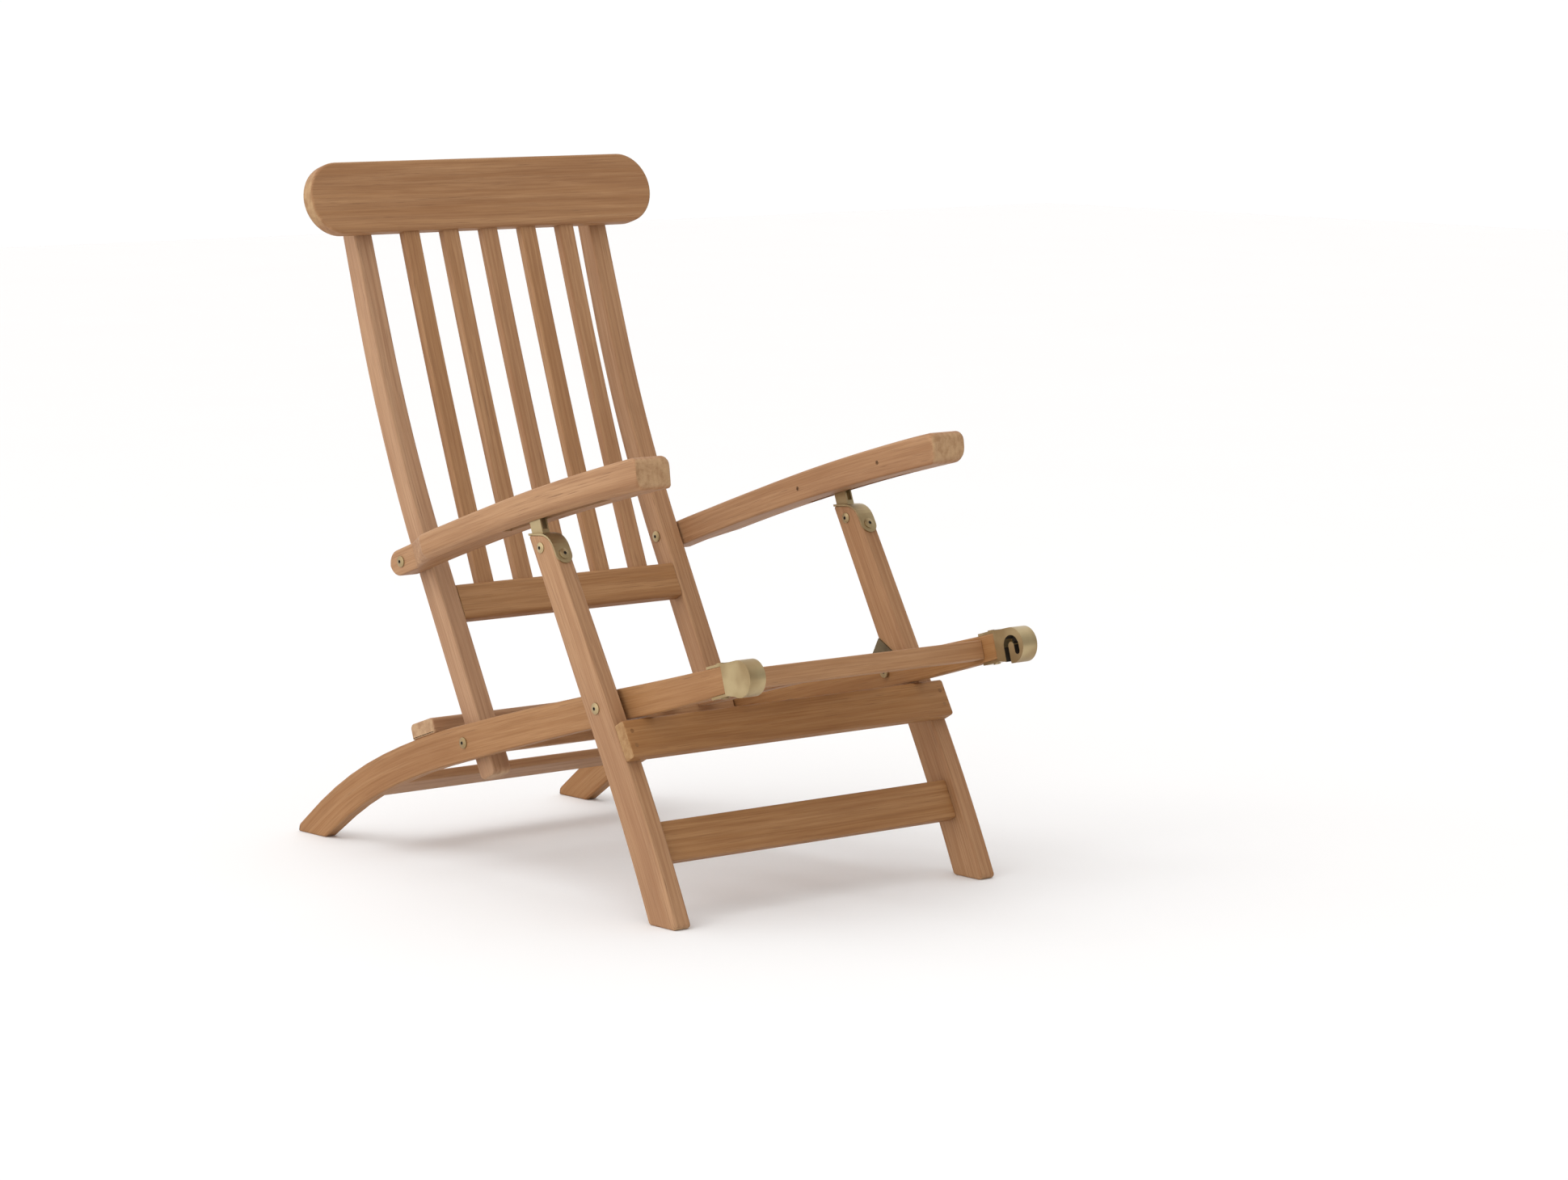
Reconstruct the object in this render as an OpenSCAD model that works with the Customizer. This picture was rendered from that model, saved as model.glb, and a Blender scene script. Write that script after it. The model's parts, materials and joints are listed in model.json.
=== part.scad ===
// Folding teak deck chair with brass rack arms and front sockets for a loose footrest.
// The chair faces -Y, +X is the sitter's left, and Z = 0 is the floor.
// Outlines are drawn in the Y-Z plane as strips that follow chains of arcs.

/* [Frame] */
// Width over the outside faces of the front legs
frame_w = 580; // [560:5:600]
// Height of the front leg pivot above the floor
leg_pivot_h = 281; // [277:1:285]
// Distance along the rail from the leg pivot back to the back pivot
back_pivot_run = 364; // [358:1:370]

/* [Side rails] */
// Thickness of a side rail
rail_t = 22; // [20:1:24]
// Depth of a side rail at its front end
rail_front_d = 37; // [36:1:40]
// Depth of a side rail at the leg pivot
rail_pivot_d = 45; // [43:1:47]
// Depth of a side rail at the back pivot
rail_back_d = 51; // [49:1:53]
// Depth of a rear leg at the floor
rear_foot_d = 49; // [47:1:52]
// Length of a side rail in front of the leg pivot
rail_fore = 241; // [235:1:247]
// Slope of a side rail at the leg pivot, degrees
rail_slope = 14.3; // [13.8:0.1:14.8]
// Length of a side rail behind the leg pivot before it bends down
seat_run = 395; // [385:1:405]
// Length of the first bend into the rear leg
bend_run = 173; // [165:1:180]
// Turn of the rear leg from that bend to the floor, degrees
foot_turn = 25.6; // [25:0.1:26.2]

/* [Front legs] */
// Thickness of a front leg
leg_t = 27; // [25:1:29]
// Gap between a side rail and a front leg
leg_gap = 7.5; // [6.5:0.5:9]
// Lean of a front leg from upright, degrees
leg_lean = 29.3; // [28.8:0.1:29.8]
// Length of a front leg above its pivot
leg_up = 258; // [254:1:262]
// Depth of a front leg at its top
leg_top_d = 42.5; // [41:0.5:45]
// Depth of a front leg at its pivot
leg_mid_d = 49; // [47:1:51]
// Depth of a front leg at the floor
leg_foot_d = 56; // [52:1:58]
// Height of the apron board
apron_h = 54; // [50:1:58]
// Thickness of the apron board
apron_t = 21; // [18:1:23]
// Height of the lower stretcher
stretcher_h = 57; // [50:1:62]
// Thickness of the lower stretcher
stretcher_t = 20; // [18:1:22]
// Distance from the leg pivot down to the top of the lower stretcher
stretcher_drop = 173; // [168:1:178]

/* [Back] */
// Thickness of a back stile
stile_t = 32; // [28:1:34]
// Gap between a back stile and a side rail
stile_gap = 2; // [1.8:0.1:3]
// Depth of a back stile at its foot
stile_d = 35.5; // [33:0.5:38]
// Depth of a back stile at its top
stile_top_d = 27; // [25:1:29]
// Lean of the lower part of the back from upright, degrees
back_lean = 27.5; // [27:0.1:28]
// Width of the headrest board
headrest_w = 622; // [600:2:640]
// Height of the headrest board
headrest_h = 106; // [100:1:112]
// Thickness of the headrest board
headrest_t = 25; // [23:1:28]
// Height of the bottom rail of the back
back_rail_h = 53; // [48:1:58]
// Thickness of the bottom rail of the back
back_rail_t = 24; // [22:1:26]
// Width of a slat
slat_w = 28; // [24:1:34]
// Thickness of a slat
slat_t = 14; // [12:1:15]
// Spacing of the slats
slat_pitch = 70.8; // [66:0.4:74]

/* [Arms] */
// Width of an arm
arm_w = 61; // [58:1:64]
// Thickness of an arm at its front
arm_d = 45; // [43:1:48]
// Thickness of an arm at its pivot
tongue_d = 37; // [34:1:39]
// Width of the tongue at the rear of an arm
tongue_w = 34; // [31:1:37]
// Length of an arm from its pivot to its nose
arm_run = 604; // [590:1:615]
// Distance along the back from the back pivot to the arm pivot
arm_pivot_run = 280; // [276:1:284]
// Rounding of the outer lower edge of an arm
arm_round = 15; // [9:1:17]

/* [Brass] */
// Thickness of the cap over the top of a front leg
cap_t = 2.5; // [2:0.5:3]
// Thickness of the lug across the chair
lug_w = 12; // [11:0.5:13]
// Depth of the lug along the arm
lug_d = 24; // [22:1:26]
// Radius of a pivot bolt
bolt_r = 4; // [3.5:0.5:5]
// Radius of the domed bolt heads
head_r = 8; // [7:0.5:9]
// Thickness of the rack plate
rack_t = 5; // [4:0.5:6]
// Number of notches in the rack
notches = 4; // [3:1:5]
// Width of a footrest socket across the chair
socket_w = 27; // [25:1:29]
// Height of a footrest socket
socket_h = 50; // [49:1:52]
// Length of a footrest socket from the rail end to its nose
socket_run = 57; // [56:1:59]
// Width of the hook slot in a footrest socket
hook_w = 9.5; // [8.5:0.5:10]

/* [Hidden] */
$fn = 48;

// Shared clearances
run_clear = 0.05;
part_clear = 0.3;
// Colours
teak = "#b98558";
teak_light = "#c4935f";
brass = "#b5a468";

// Lateral positions, as distances from the centre line
leg_out = frame_w / 2;
leg_in = leg_out - leg_t;
rail_out = leg_in - leg_gap;
rail_in = rail_out - rail_t;
stile_out = rail_in - stile_gap;
stile_in = stile_out - stile_t;
arm_gap = 3;
arm_in = stile_out + arm_gap;
arm_out = arm_in + arm_w;
tongue_out = arm_in + tongue_w;
lug_x = leg_out - leg_t / 2;

// Plane geometry
function dir(a) = [cos(a), sin(a)];
function perp(a) = [-sin(a), cos(a)];
function bend_chord(s, run, turn) = turn == 0 ? s : 360 * run / (PI * turn) * sin(turn * s / run / 2);
// Point and heading at distance s along a chain of [length, turn] arcs
function along(s, start, head, arcs, i = 0) =
    let (run = arcs[i][0], turn = arcs[i][1])
    i == len(arcs) - 1 || s <= run
    ? [start + bend_chord(s, run, turn) * dir(head + turn * s / run / 2), head + turn * s / run]
    : along(s - run, start + bend_chord(run, run, turn) * dir(head + turn / 2), head + turn, arcs, i + 1);
// A strip is [start, heading, arcs, [distance, depth] pairs]
function at(strip, s) = along(s, strip[0], strip[1], strip[2]);
function off(strip, s, n) = let (p = at(strip, s)) p[0] + n * perp(p[1]);
function edge(strip, s, k) = off(strip, s, k * lookup(s, strip[3]) / 2);
function steps(a, b, n) = [for (i = [0:n]) a + (b - a) * i / n];
// Where the line from a through b meets height z
function to_level(a, b, z = 0) = a + (b - a) * (a[1] - z) / (a[1] - b[1]);
function flat(p) = [p[0], p[1]];
function wrap(a) = a > 180 ? a - 360 : a < -180 ? a + 360 : a;
function bearing(v) = atan2(v[1], v[0]);
// The arc of radius r that rounds corner b between a and c
function corner(a, b, c, r) =
    r == 0 ? [b] :
    let (u = (a - b) / norm(a - b), v = (c - b) / norm(c - b), half = acos(u * v) / 2,
         t = r / tan(half), mid = b + r / sin(half) * (u + v) / norm(u + v),
         from = bearing(b + t * u - mid), sweep = wrap(bearing(b + t * v - mid) - from))
    [for (k = [0:6]) mid + r * dir(from + sweep * k / 6)];
// An outline from [y, z, corner radius] points
function rounded(pts) = let (n = len(pts))
    [for (i = [0:n - 1])
        each corner(flat(pts[(i + n - 1) % n]), flat(pts[i]), flat(pts[(i + 1) % n]), pts[i][2])];
function sharp(pts, r = 0) = [for (p = pts) [p[0], p[1], r]];
function reversed(v) = [for (i = [len(v) - 1:-1:0]) v[i]];
function with_r(p, r) = [p[0], p[1], r];

// Side rail and rear leg in one strip, from the front end to the floor
rail_fore_turn = 1.8;
seat_turn = 1.8;
bend_turn = 6.8;
foot_run = 356;
leg_pivot = [0, leg_pivot_h];
rail_start = leg_pivot
    - bend_chord(rail_fore, rail_fore, rail_fore_turn) * dir(-rail_slope - rail_fore_turn / 2);
back_pivot_s = rail_fore + back_pivot_run;
rail_len = rail_fore + seat_run + bend_run + foot_run;
RAIL = [rail_start, -rail_slope - rail_fore_turn,
    [[rail_fore, rail_fore_turn], [seat_run, -seat_turn], [bend_run, -bend_turn], [foot_run, -foot_turn]],
    [[0, rail_front_d], [rail_fore, rail_pivot_d], [back_pivot_s, rail_back_d], [rail_len, rear_foot_d]]];
back_pivot = at(RAIL, back_pivot_s)[0];
heel_rise = 9.9;
heel_round = 11;
toe_round = 9;
floor_edge = 1.5;
rail_steps = 26;
rail_top = [for (s = steps(0, rail_len, rail_steps)) let (p = edge(RAIL, s, 1)) if (p[1] > 2 * heel_rise) p];
rail_low = [for (s = steps(0, rail_len, rail_steps)) let (p = edge(RAIL, s, -1)) if (p[1] > toe_round) p];
function last(v, k = 1) = v[len(v) - k];
// The rear leg ends in an upright face below its rounded heel
heel = to_level(last(rail_top, 2), last(rail_top), heel_rise);
toe = to_level(last(rail_low, 2), last(rail_low));
rail_outline = rounded(concat(sharp(rail_top), [with_r(heel, heel_round), [heel[0], 0, floor_edge], with_r(toe, toe_round)],
    sharp(reversed(rail_low))));

// Front leg strip, from the pivot down to the floor, straight above the pivot
leg_straight = 60;
leg_bend_run = 275;
leg_bend_turn = 5.9;
leg_len = leg_straight + leg_bend_run;
LEG = [leg_pivot, -90 - leg_lean, [[leg_straight, 0], [leg_bend_run, leg_bend_turn]],
    [[-leg_up, leg_top_d], [0, leg_mid_d], [leg_len, leg_foot_d]]];
leg_foot_round = 6;
// Point at height u along the straight axis of a front leg and n towards its front
function leg_point(u, n) = leg_pivot + u * dir(90 - leg_lean) + n * dir(180 - leg_lean);
// The leg top rises slightly to the front
leg_top_slope = 5;
leg_top_cut = tan(leg_lean - leg_top_slope);
function leg_top_u(n) = leg_up - n * leg_top_cut;
leg_top_round = 30;
leg_rear = [for (s = steps(-leg_up + leg_top_d / 2, leg_len, 14))
    let (p = edge(LEG, s, 1)) if (p[1] > leg_foot_round) p];
leg_front = [for (s = steps(-leg_up + leg_top_d, leg_len, 14))
    let (p = edge(LEG, s, -1)) if (p[1] > leg_foot_round) p];
leg_outline = rounded(concat(
    [with_r(leg_point(leg_top_u(-leg_top_d / 2), -leg_top_d / 2), 2)], sharp(leg_rear),
    [with_r(to_level(last(leg_rear, 2), last(leg_rear)), leg_foot_round),
     with_r(to_level(last(leg_front, 2), last(leg_front)), leg_foot_round)],
    sharp(reversed(leg_front)),
    [with_r(leg_point(leg_top_u(leg_top_d / 2), leg_top_d / 2), leg_top_round)]));

// Apron: its front top corner just clears the underside of the side rails
apron_seat = 0.3;
apron_n = leg_mid_d / 2 + apron_seat;
apron_tilt = leg_lean - rail_slope;
apron_top_u = -(rail_pivot_d / 2 + part_clear + (apron_n + apron_t) * sin(apron_tilt)) / cos(apron_tilt);

// Back stile strip, from the pivot upwards
stile_foot = 55;
stile_straight = 277;
stile_bend_run = 340;
stile_bend_turn = 9.6;
stile_top_run = 238;
stile_top_turn = 1.5;
stile_len = stile_straight + stile_bend_run + stile_top_run;
stile_bend_end = stile_straight + stile_bend_run;
STILE = [back_pivot, 90 - back_lean,
    [[stile_straight, 0], [stile_bend_run, stile_bend_turn], [stile_top_run, stile_top_turn]],
    [[-stile_foot, stile_d], [arm_pivot_run, stile_d], [stile_bend_end, stile_d - 2.5], [stile_len, stile_top_d]]];
arm_pivot = at(STILE, arm_pivot_run)[0];
top_lean = back_lean - stile_bend_turn - stile_top_turn;
stile_outline = rounded(concat(
    [with_r(edge(STILE, -stile_foot, 1), 9)],
    sharp([for (s = concat([0, stile_straight], steps(stile_straight + 34, stile_len - 34, 14))) edge(STILE, s, 1)]),
    [with_r(edge(STILE, stile_len, 1), 2), with_r(edge(STILE, stile_len, -1), 6)],
    sharp(reversed([for (s = concat([0, stile_straight], steps(stile_straight + 34, stile_len - 34, 14)))
        edge(STILE, s, -1)])),
    [with_r(edge(STILE, -stile_foot, -1), 9)]));

// Headrest frame: on the front faces of the stile tops
headrest_above = 17;
headrest_s = stile_len - headrest_h * 0.38;
headrest_seat = off(STILE, headrest_s, lookup(headrest_s, STILE[3]) / 2);
headrest_up = headrest_above + stile_len - headrest_s - headrest_h / 2;

// Bottom rail of the back, flush with the fronts of the stiles
back_rail_s = 179;
back_rail_top_s = back_rail_s + back_rail_h;
slat_inset = 5;
slat_set_back = 5.5;
tenon = 10;
slat_low = off(STILE, back_rail_top_s, stile_d / 2 - slat_inset - slat_t / 2);
slat_high = headrest_seat + (headrest_up - headrest_h / 2) * dir(90 - top_lean)
    + (headrest_t - slat_set_back - slat_t / 2) * dir(180 - top_lean);
// A shallow bow, concave to the front, from a to b
function bow(a, b, sag, q, n = 0) = let (c = b - a, w = dir(bearing(c) - 90))
    a + q * c + (sag * 4 * q * (1 - q) + n) * w;
slat_sag = 5;

// Arm strip, from the pivot forward
arm_slope = 19.8;
arm_rear_run = 260;
arm_rear_turn = 2.2;
arm_fore_turn = 4.2;
arm_waist = 6.5;
arm_swell = 3;
ARM = [arm_pivot, 180 - arm_slope, [[arm_rear_run, arm_rear_turn], [arm_run - arm_rear_run, arm_fore_turn]],
    [[0, tongue_d], [arm_run / 3, arm_d - arm_waist], [arm_run * 0.58, arm_d - arm_waist + arm_swell], [arm_run, arm_d]]];
tongue_over = 9;
shoulder_start = 34;
shoulder_end = 92;
// The nose rounds over its top, its underside and its inner edge, and its end stands nearly upright
nose_round = 12;
nose_low = 8;
nose_corner = 11;
nose_upright = 6.8;
nose_run = 40;
edge_round = 6;
soft_edge = 3;

// Lug, pin and rack
lug_lean = 20;
lug_h = 26;
lug_n = -10;
pin_r = 3;
lug_root = leg_point(leg_top_u(lug_n), lug_n);
lug_pin = lug_root + lug_h * dir(90 - lug_lean);
lug_bolt_u = 241;
lug_bolt_n = -3.3;
lug_bolt = leg_point(lug_bolt_u, lug_bolt_n);
groove_w = lug_w + 2.5;
fork_slot = rack_t + 2.6;
// Place along the arm that lies nearest to point p, measured from the arm pivot
arm_chord = at(ARM, 400)[0] - arm_pivot;
function arm_s(p) = (p - arm_pivot) * arm_chord / norm(arm_chord) * 400 / norm(arm_chord);
rack_s = arm_s(lug_pin);
rack_dir = at(ARM, rack_s)[1];
rack_travel = 84;
rack_rear = 62;
rack_front = 148;
rack_clear = 0.5;
rack_h = 13;
rack_pin_r = 3;
rack_pin_rear = -48;
rack_pin_front = 134;
notch_depth = 5;
groove_rear = 74;
groove_front = 160;
groove_depth = 20;

// Footrest socket, in a frame at the front end of the rail
socket_tab = 36;
socket_tab_t = 2.5;
hook_depth = 14;
socket_drop = 4.5;
hook_rear = 22;
hook_front = 43;
hook_top = 5;
hook_pocket = -14;
socket_x = rail_in + rail_t / 2;
screw_r = 2;

// The origin is under the middle of the whole chair
rear_reach = max([for (p = rail_outline) p[0]]);
nose_centre = rail_start - (socket_run - socket_h / 2) * dir(RAIL[1]) - socket_drop * perp(RAIL[1]);
front_reach = nose_centre[0] - socket_h / 2;
centre_y = (rear_reach + front_reach) / 2;

echo(leg_pivot = leg_pivot - [centre_y, 0], back_pivot = back_pivot - [centre_y, 0],
     arm_pivot = arm_pivot - [centre_y, 0], lug_pin = lug_pin - [centre_y, 0], centre_y = centre_y,
     apron_top_u = apron_top_u, rack_s = rack_s);

// Moves a piece drawn from the leg pivot to the chair's own origin
module placed() { translate([0, -centre_y, 0]) children(); }
module mirrored(side) { if (side < 0) mirror([1, 0, 0]) children(); else children(); }
// An outline in Y-Z made solid from x0 to x1
module plank(x0, x1, outline) {
    translate([x0, 0, 0]) rotate([90, 0, 90]) linear_extrude(x1 - x0) polygon(outline);
}
// Local frame with Z along a leaning member and -Y towards its front
module leaning(p, lean) { translate([0, p[0], p[1]]) rotate([-lean, 0, 0]) children(); }
// Local frame on a strip with Y along it and Z across it
module on_strip(strip, s) {
    p = at(strip, s);
    translate([0, p[0][0], p[0][1]]) rotate([p[1], 0, 0]) children();
}
// A shank or bore along X through point p
module cross_rod(p, r, x0, x1) { translate([x0, p[0], p[1]]) rotate([0, 90, 0]) cylinder(r = r, h = x1 - x0); }
// A domed head on plane x, facing +X, with its hex socket
module dome_head(p, x, r = head_r, t = 3) {
    translate([x, p[0], p[1]]) rotate([0, 90, 0]) head_shape(r, t);
}
module head_shape(r, t) {
    rim = t * 0.4;
    ball = (r * r + (t - rim) * (t - rim)) / (2 * (t - rim));
    difference() {
        union() {
            cylinder(r = r, h = rim);
            intersection() {
                translate([0, 0, t - ball]) sphere(r = ball);
                translate([0, 0, rim]) cylinder(r = r, h = t);
            }
        }
        translate([0, 0, t - 1.8]) cylinder(r = 2.3, h = 3, $fn = 6);
    }
}

// Seat frame
module side_rail(side) color(teak) placed() mirrored(side) difference() {
    plank(rail_in, rail_out, rail_outline);
    cross_rod(leg_pivot, bolt_r, rail_in - 1, rail_out + 1);
    cross_rod(back_pivot, bolt_r + run_clear, rail_in - 1, rail_out + 1);
    seat_front_rail_solid();
    seat_rear_rail_solid();
    rear_stretcher_solid();
    socket_screw_set(screw_r);
}
front_rail_back = 28;
front_rail_t = 24;
front_rail_h = 27;
module seat_front_rail_solid() on_strip(RAIL, front_rail_back + front_rail_t / 2) {
    translate([-rail_in, -front_rail_t / 2, -front_rail_h / 2]) cube([2 * rail_in, front_rail_t, front_rail_h]);
    translate([-rail_in - tenon, -front_rail_t / 4, -front_rail_h / 3])
        cube([2 * (rail_in + tenon), front_rail_t / 2, front_rail_h * 2 / 3]);
}
module seat_front_rail() color(teak) placed() difference() {
    seat_front_rail_solid();
    for (i = [-2:2]) seat_slat_solid(i);
}
// The rear seat rail is cut down at both ends so that the stiles fold over it
rear_rail_gap = 38;
rear_rail_t = 22;
rear_rail_s = back_pivot_s - rear_rail_gap - rear_rail_t / 2;
seat_top = 4;
function rail_half(s) = lookup(s, RAIL[3]) / 2;
rear_rail_inset = 2;
fold_gap = 4;
stile_fold_angle = 16;
tenon_cheek = 3;
module seat_rear_rail_solid() on_strip(RAIL, rear_rail_s) {
    low = -rail_half(rear_rail_s) + rear_rail_inset;
    top = rail_half(rear_rail_s) - seat_top;
    step = rear_rail_gap * tan(stile_fold_angle) - stile_d / 2 - fold_gap / 2;
    mid_in = stile_in - fold_gap;
    translate([-mid_in, -rear_rail_t / 2, low]) cube([2 * mid_in, rear_rail_t, top - low]);
    translate([-rail_in, -rear_rail_t / 2, low]) cube([2 * rail_in, rear_rail_t, step - low]);
    translate([-rail_in - tenon, -rear_rail_t / 4, low + tenon_cheek])
        cube([2 * (rail_in + tenon), rear_rail_t / 2, step - low - 2 * tenon_cheek]);
}
module seat_rear_rail() color(teak) placed() difference() {
    seat_rear_rail_solid();
    for (i = [-2:2]) seat_slat_solid(i);
}
slat_front_s = front_rail_back + front_rail_t - tenon;
slat_rear_s = rear_rail_s - rear_rail_t / 2 + tenon;
slat_shoulder = 3;
slat_settle = 0.4;
front_slat_n = front_rail_h / 2 - slat_shoulder - slat_t / 2;
rear_slat_n = rail_half(slat_rear_s) - seat_top - slat_shoulder - slat_t / 2;
// The slats leave the front rail low and settle higher over the first part of their length
function seat_slat_n(s) = let (q = (s - slat_front_s) / (slat_rear_s - slat_front_s))
    front_slat_n + (rear_slat_n - front_slat_n) * min(1, q / slat_settle);
module seat_slat_solid(i) {
    stations = steps(slat_front_s, slat_rear_s, 12);
    outline = concat([for (s = stations) off(RAIL, s, seat_slat_n(s) + slat_t / 2)],
        reversed([for (s = stations) off(RAIL, s, seat_slat_n(s) - slat_t / 2)]));
    plank(i * slat_pitch - slat_w / 2, i * slat_pitch + slat_w / 2, outline);
}
module seat_slat(i) color(teak_light) placed() seat_slat_solid(i);

// Rest for the folded back, scribed over the bend of the rails
stop_gap = 64;
stop_w = 57;
stop_t = 23;
stop_sink = 1;
stop_round = 6;
stop_s = back_pivot_s + stop_gap + stop_w / 2;
module back_stop_rail() color(teak) placed() difference() {
    on_strip(RAIL, stop_s) translate([-rail_out, -stop_w / 2, rail_half(stop_s) - stop_sink])
        rotate([90, 0, 90]) linear_extrude(2 * rail_out)
        polygon(rounded([[0, 0, 1], [stop_w, 0, 1], [stop_w, stop_t, stop_round], [0, stop_t, stop_round]]));
    for (side = [-1, 1]) mirrored(side) plank(rail_in, rail_out, rail_outline);
}
rear_stretcher_s = 850;
rear_stretcher_h = 61;
rear_stretcher_t = 14;
rear_stretcher_n = 12.5;
module rear_stretcher_solid() on_strip(RAIL, rear_stretcher_s) {
    translate([-rail_in, -rear_stretcher_h / 2, -rear_stretcher_t / 2 - rear_stretcher_n])
        cube([2 * rail_in, rear_stretcher_h, rear_stretcher_t]);
    translate([-rail_in - tenon, -rear_stretcher_h / 3, -rear_stretcher_t / 4 - rear_stretcher_n])
        cube([2 * (rail_in + tenon), rear_stretcher_h * 2 / 3, rear_stretcher_t / 2]);
}
module rear_stretcher() color(teak) placed() rear_stretcher_solid();

// Footrest sockets
module in_socket() { on_strip(RAIL, 0) children(); }
// Centre line of the hook slot: up from below, over, and down into the pocket
hook_arch_r = (hook_front - hook_rear) / 2;
module hook_shape(w) {
    arch = [-(hook_rear + hook_front) / 2, hook_top - hook_arch_r];
    intersection() {
        translate(arch) difference() { circle(hook_arch_r + w / 2); circle(hook_arch_r - w / 2); }
        translate([arch[0] - hook_front, arch[1]]) square([2 * hook_front, socket_h]);
    }
    translate([-hook_rear - w / 2, -socket_h]) square([w, socket_h + arch[1]]);
    translate([-hook_front - w / 2, hook_pocket]) square([w, arch[1] - hook_pocket]);
    translate([-hook_front, hook_pocket]) circle(w / 2);
}
module socket_profile() {
    translate([-socket_run + socket_h / 2, -socket_drop]) circle(socket_h / 2);
    polygon([[-socket_run + socket_h / 2, -socket_drop - socket_h / 2], [0, -rail_front_d / 2 - socket_tab_t],
        [0, rail_front_d / 2 + socket_tab_t], [-socket_run + socket_h / 2, -socket_drop + socket_h / 2]]);
}
module along_x(x0, x1) { translate([x0, 0, 0]) rotate([90, 0, 90]) linear_extrude(x1 - x0) children(); }
socket_x0 = socket_x - socket_w / 2;
// Tabs over and under the rail end, thinning to their rear
tab_margin = 3;
tab_swell = 1.4;
tab_taper = 1.5;
module footrest_socket(side) color(brass) placed() mirrored(side) difference() {
    in_socket() {
        difference() {
            along_x(socket_x0, socket_x0 + socket_w) socket_profile();
            along_x(socket_x0 - 1, socket_x0 + hook_depth) hook_shape(hook_w);
        }
        for (k = [-1, 1]) translate([rail_in + tab_margin / 2, -1, 0]) mirror([0, 0, k < 0 ? 1 : 0])
            translate([0, 0, rail_front_d / 2]) difference() {
                cube([rail_t - tab_margin, socket_tab, socket_tab_t + tab_swell]);
                translate([-1, 0, socket_tab_t + tab_swell]) rotate([tab_taper, 0, 0]) translate([0, 0, -0.2])
                    cube([rail_t, 2 * socket_tab, 3 * socket_tab_t]);
            }
    }
    plank(rail_in, rail_out, rail_outline);
    socket_screw_set(screw_r);
}
screw_back = 17;
screw_into = 12;
screw_head_r = 5;
screw_head_t = 1.6;
screw_rise = socket_tab_t + 1.5;
module socket_screw_set(r, heads = false) in_socket() for (k = [-1, 1]) mirror([0, 0, k < 0 ? 1 : 0])
    translate([rail_in + rail_t / 2, screw_back, rail_front_d / 2 - screw_into]) {
        cylinder(r = r, h = screw_into + screw_rise);
        if (heads) translate([0, 0, screw_into + screw_rise]) cylinder(r = screw_head_r, h = screw_head_t);
    }
module socket_screws() color(brass) placed() for (side = [-1, 1]) mirrored(side) socket_screw_set(screw_r, true);

// Pivot bolts between the legs and the rails, with washers in the gap and nuts inside
washer_t = 2;
nut_t = 4;
module leg_pivot_bolts() color(brass) placed() for (side = [-1, 1]) mirrored(side) {
    cross_rod(leg_pivot, bolt_r, rail_in - nut_t, leg_out + part_clear);
    dome_head(leg_pivot, leg_out + part_clear);
    difference() {
        cross_rod(leg_pivot, head_r + 1, rail_out, rail_out + washer_t);
        cross_rod(leg_pivot, bolt_r, rail_out - 1, rail_out + washer_t + 1);
    }
    difference() {
        cross_rod(leg_pivot, head_r, rail_in - nut_t, rail_in);
        cross_rod(leg_pivot, bolt_r, rail_in - nut_t - 1, rail_in + 1);
    }
}

// Front leg frame
module front_leg(side) color(teak_light) placed() mirrored(side) difference() {
    plank(leg_in, leg_out, leg_outline);
    cross_rod(leg_pivot, bolt_r + run_clear, leg_in - 1, leg_out + 1);
    lower_stretcher_solid();
    lug_solid();
    cross_rod(lug_bolt, bolt_r, leg_in - 1, leg_out + 1);
    cap_screw_solid(0);
    apron_dowel_set();
    front_apron_solid();
}
module in_leg() { leaning(leg_pivot, leg_lean) children(); }
module front_apron_solid() in_leg()
    translate([0, -apron_n, apron_top_u - apron_h / 2]) rotate([90, 0, 0]) linear_extrude(apron_t)
    square([2 * leg_out, apron_h], center = true);
module front_apron() color(teak) placed() difference() {
    front_apron_solid();
    apron_dowel_set();
}
dowel_r = 3.2;
dowel_len = 45;
dowel_inset = 11;
dowel_spread = apron_h / 5.2;
module apron_dowel_set() in_leg() for (side = [-1, 1]) for (k = [-1, 1])
    translate([side * (leg_out - dowel_inset), -apron_n - apron_t, apron_top_u - apron_h / 2 + k * dowel_spread])
    rotate([-90, 0, 0]) cylinder(r = dowel_r, h = dowel_len);
module apron_dowels() color(teak) placed() apron_dowel_set();
stretcher_recess = 13;
module lower_stretcher_solid() {
    s = stretcher_drop + stretcher_h / 2;
    on_strip(LEG, s) {
        front = -lookup(s, LEG[3]) / 2 + stretcher_recess;
        translate([-leg_in, -stretcher_h / 2, front]) cube([2 * leg_in, stretcher_h, stretcher_t]);
        translate([-leg_in - tenon, -stretcher_h / 3, front + stretcher_t / 4])
            cube([2 * (leg_in + tenon), stretcher_h * 2 / 3, stretcher_t / 2]);
    }
}
module lower_stretcher() color(teak) placed() lower_stretcher_solid();

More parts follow.
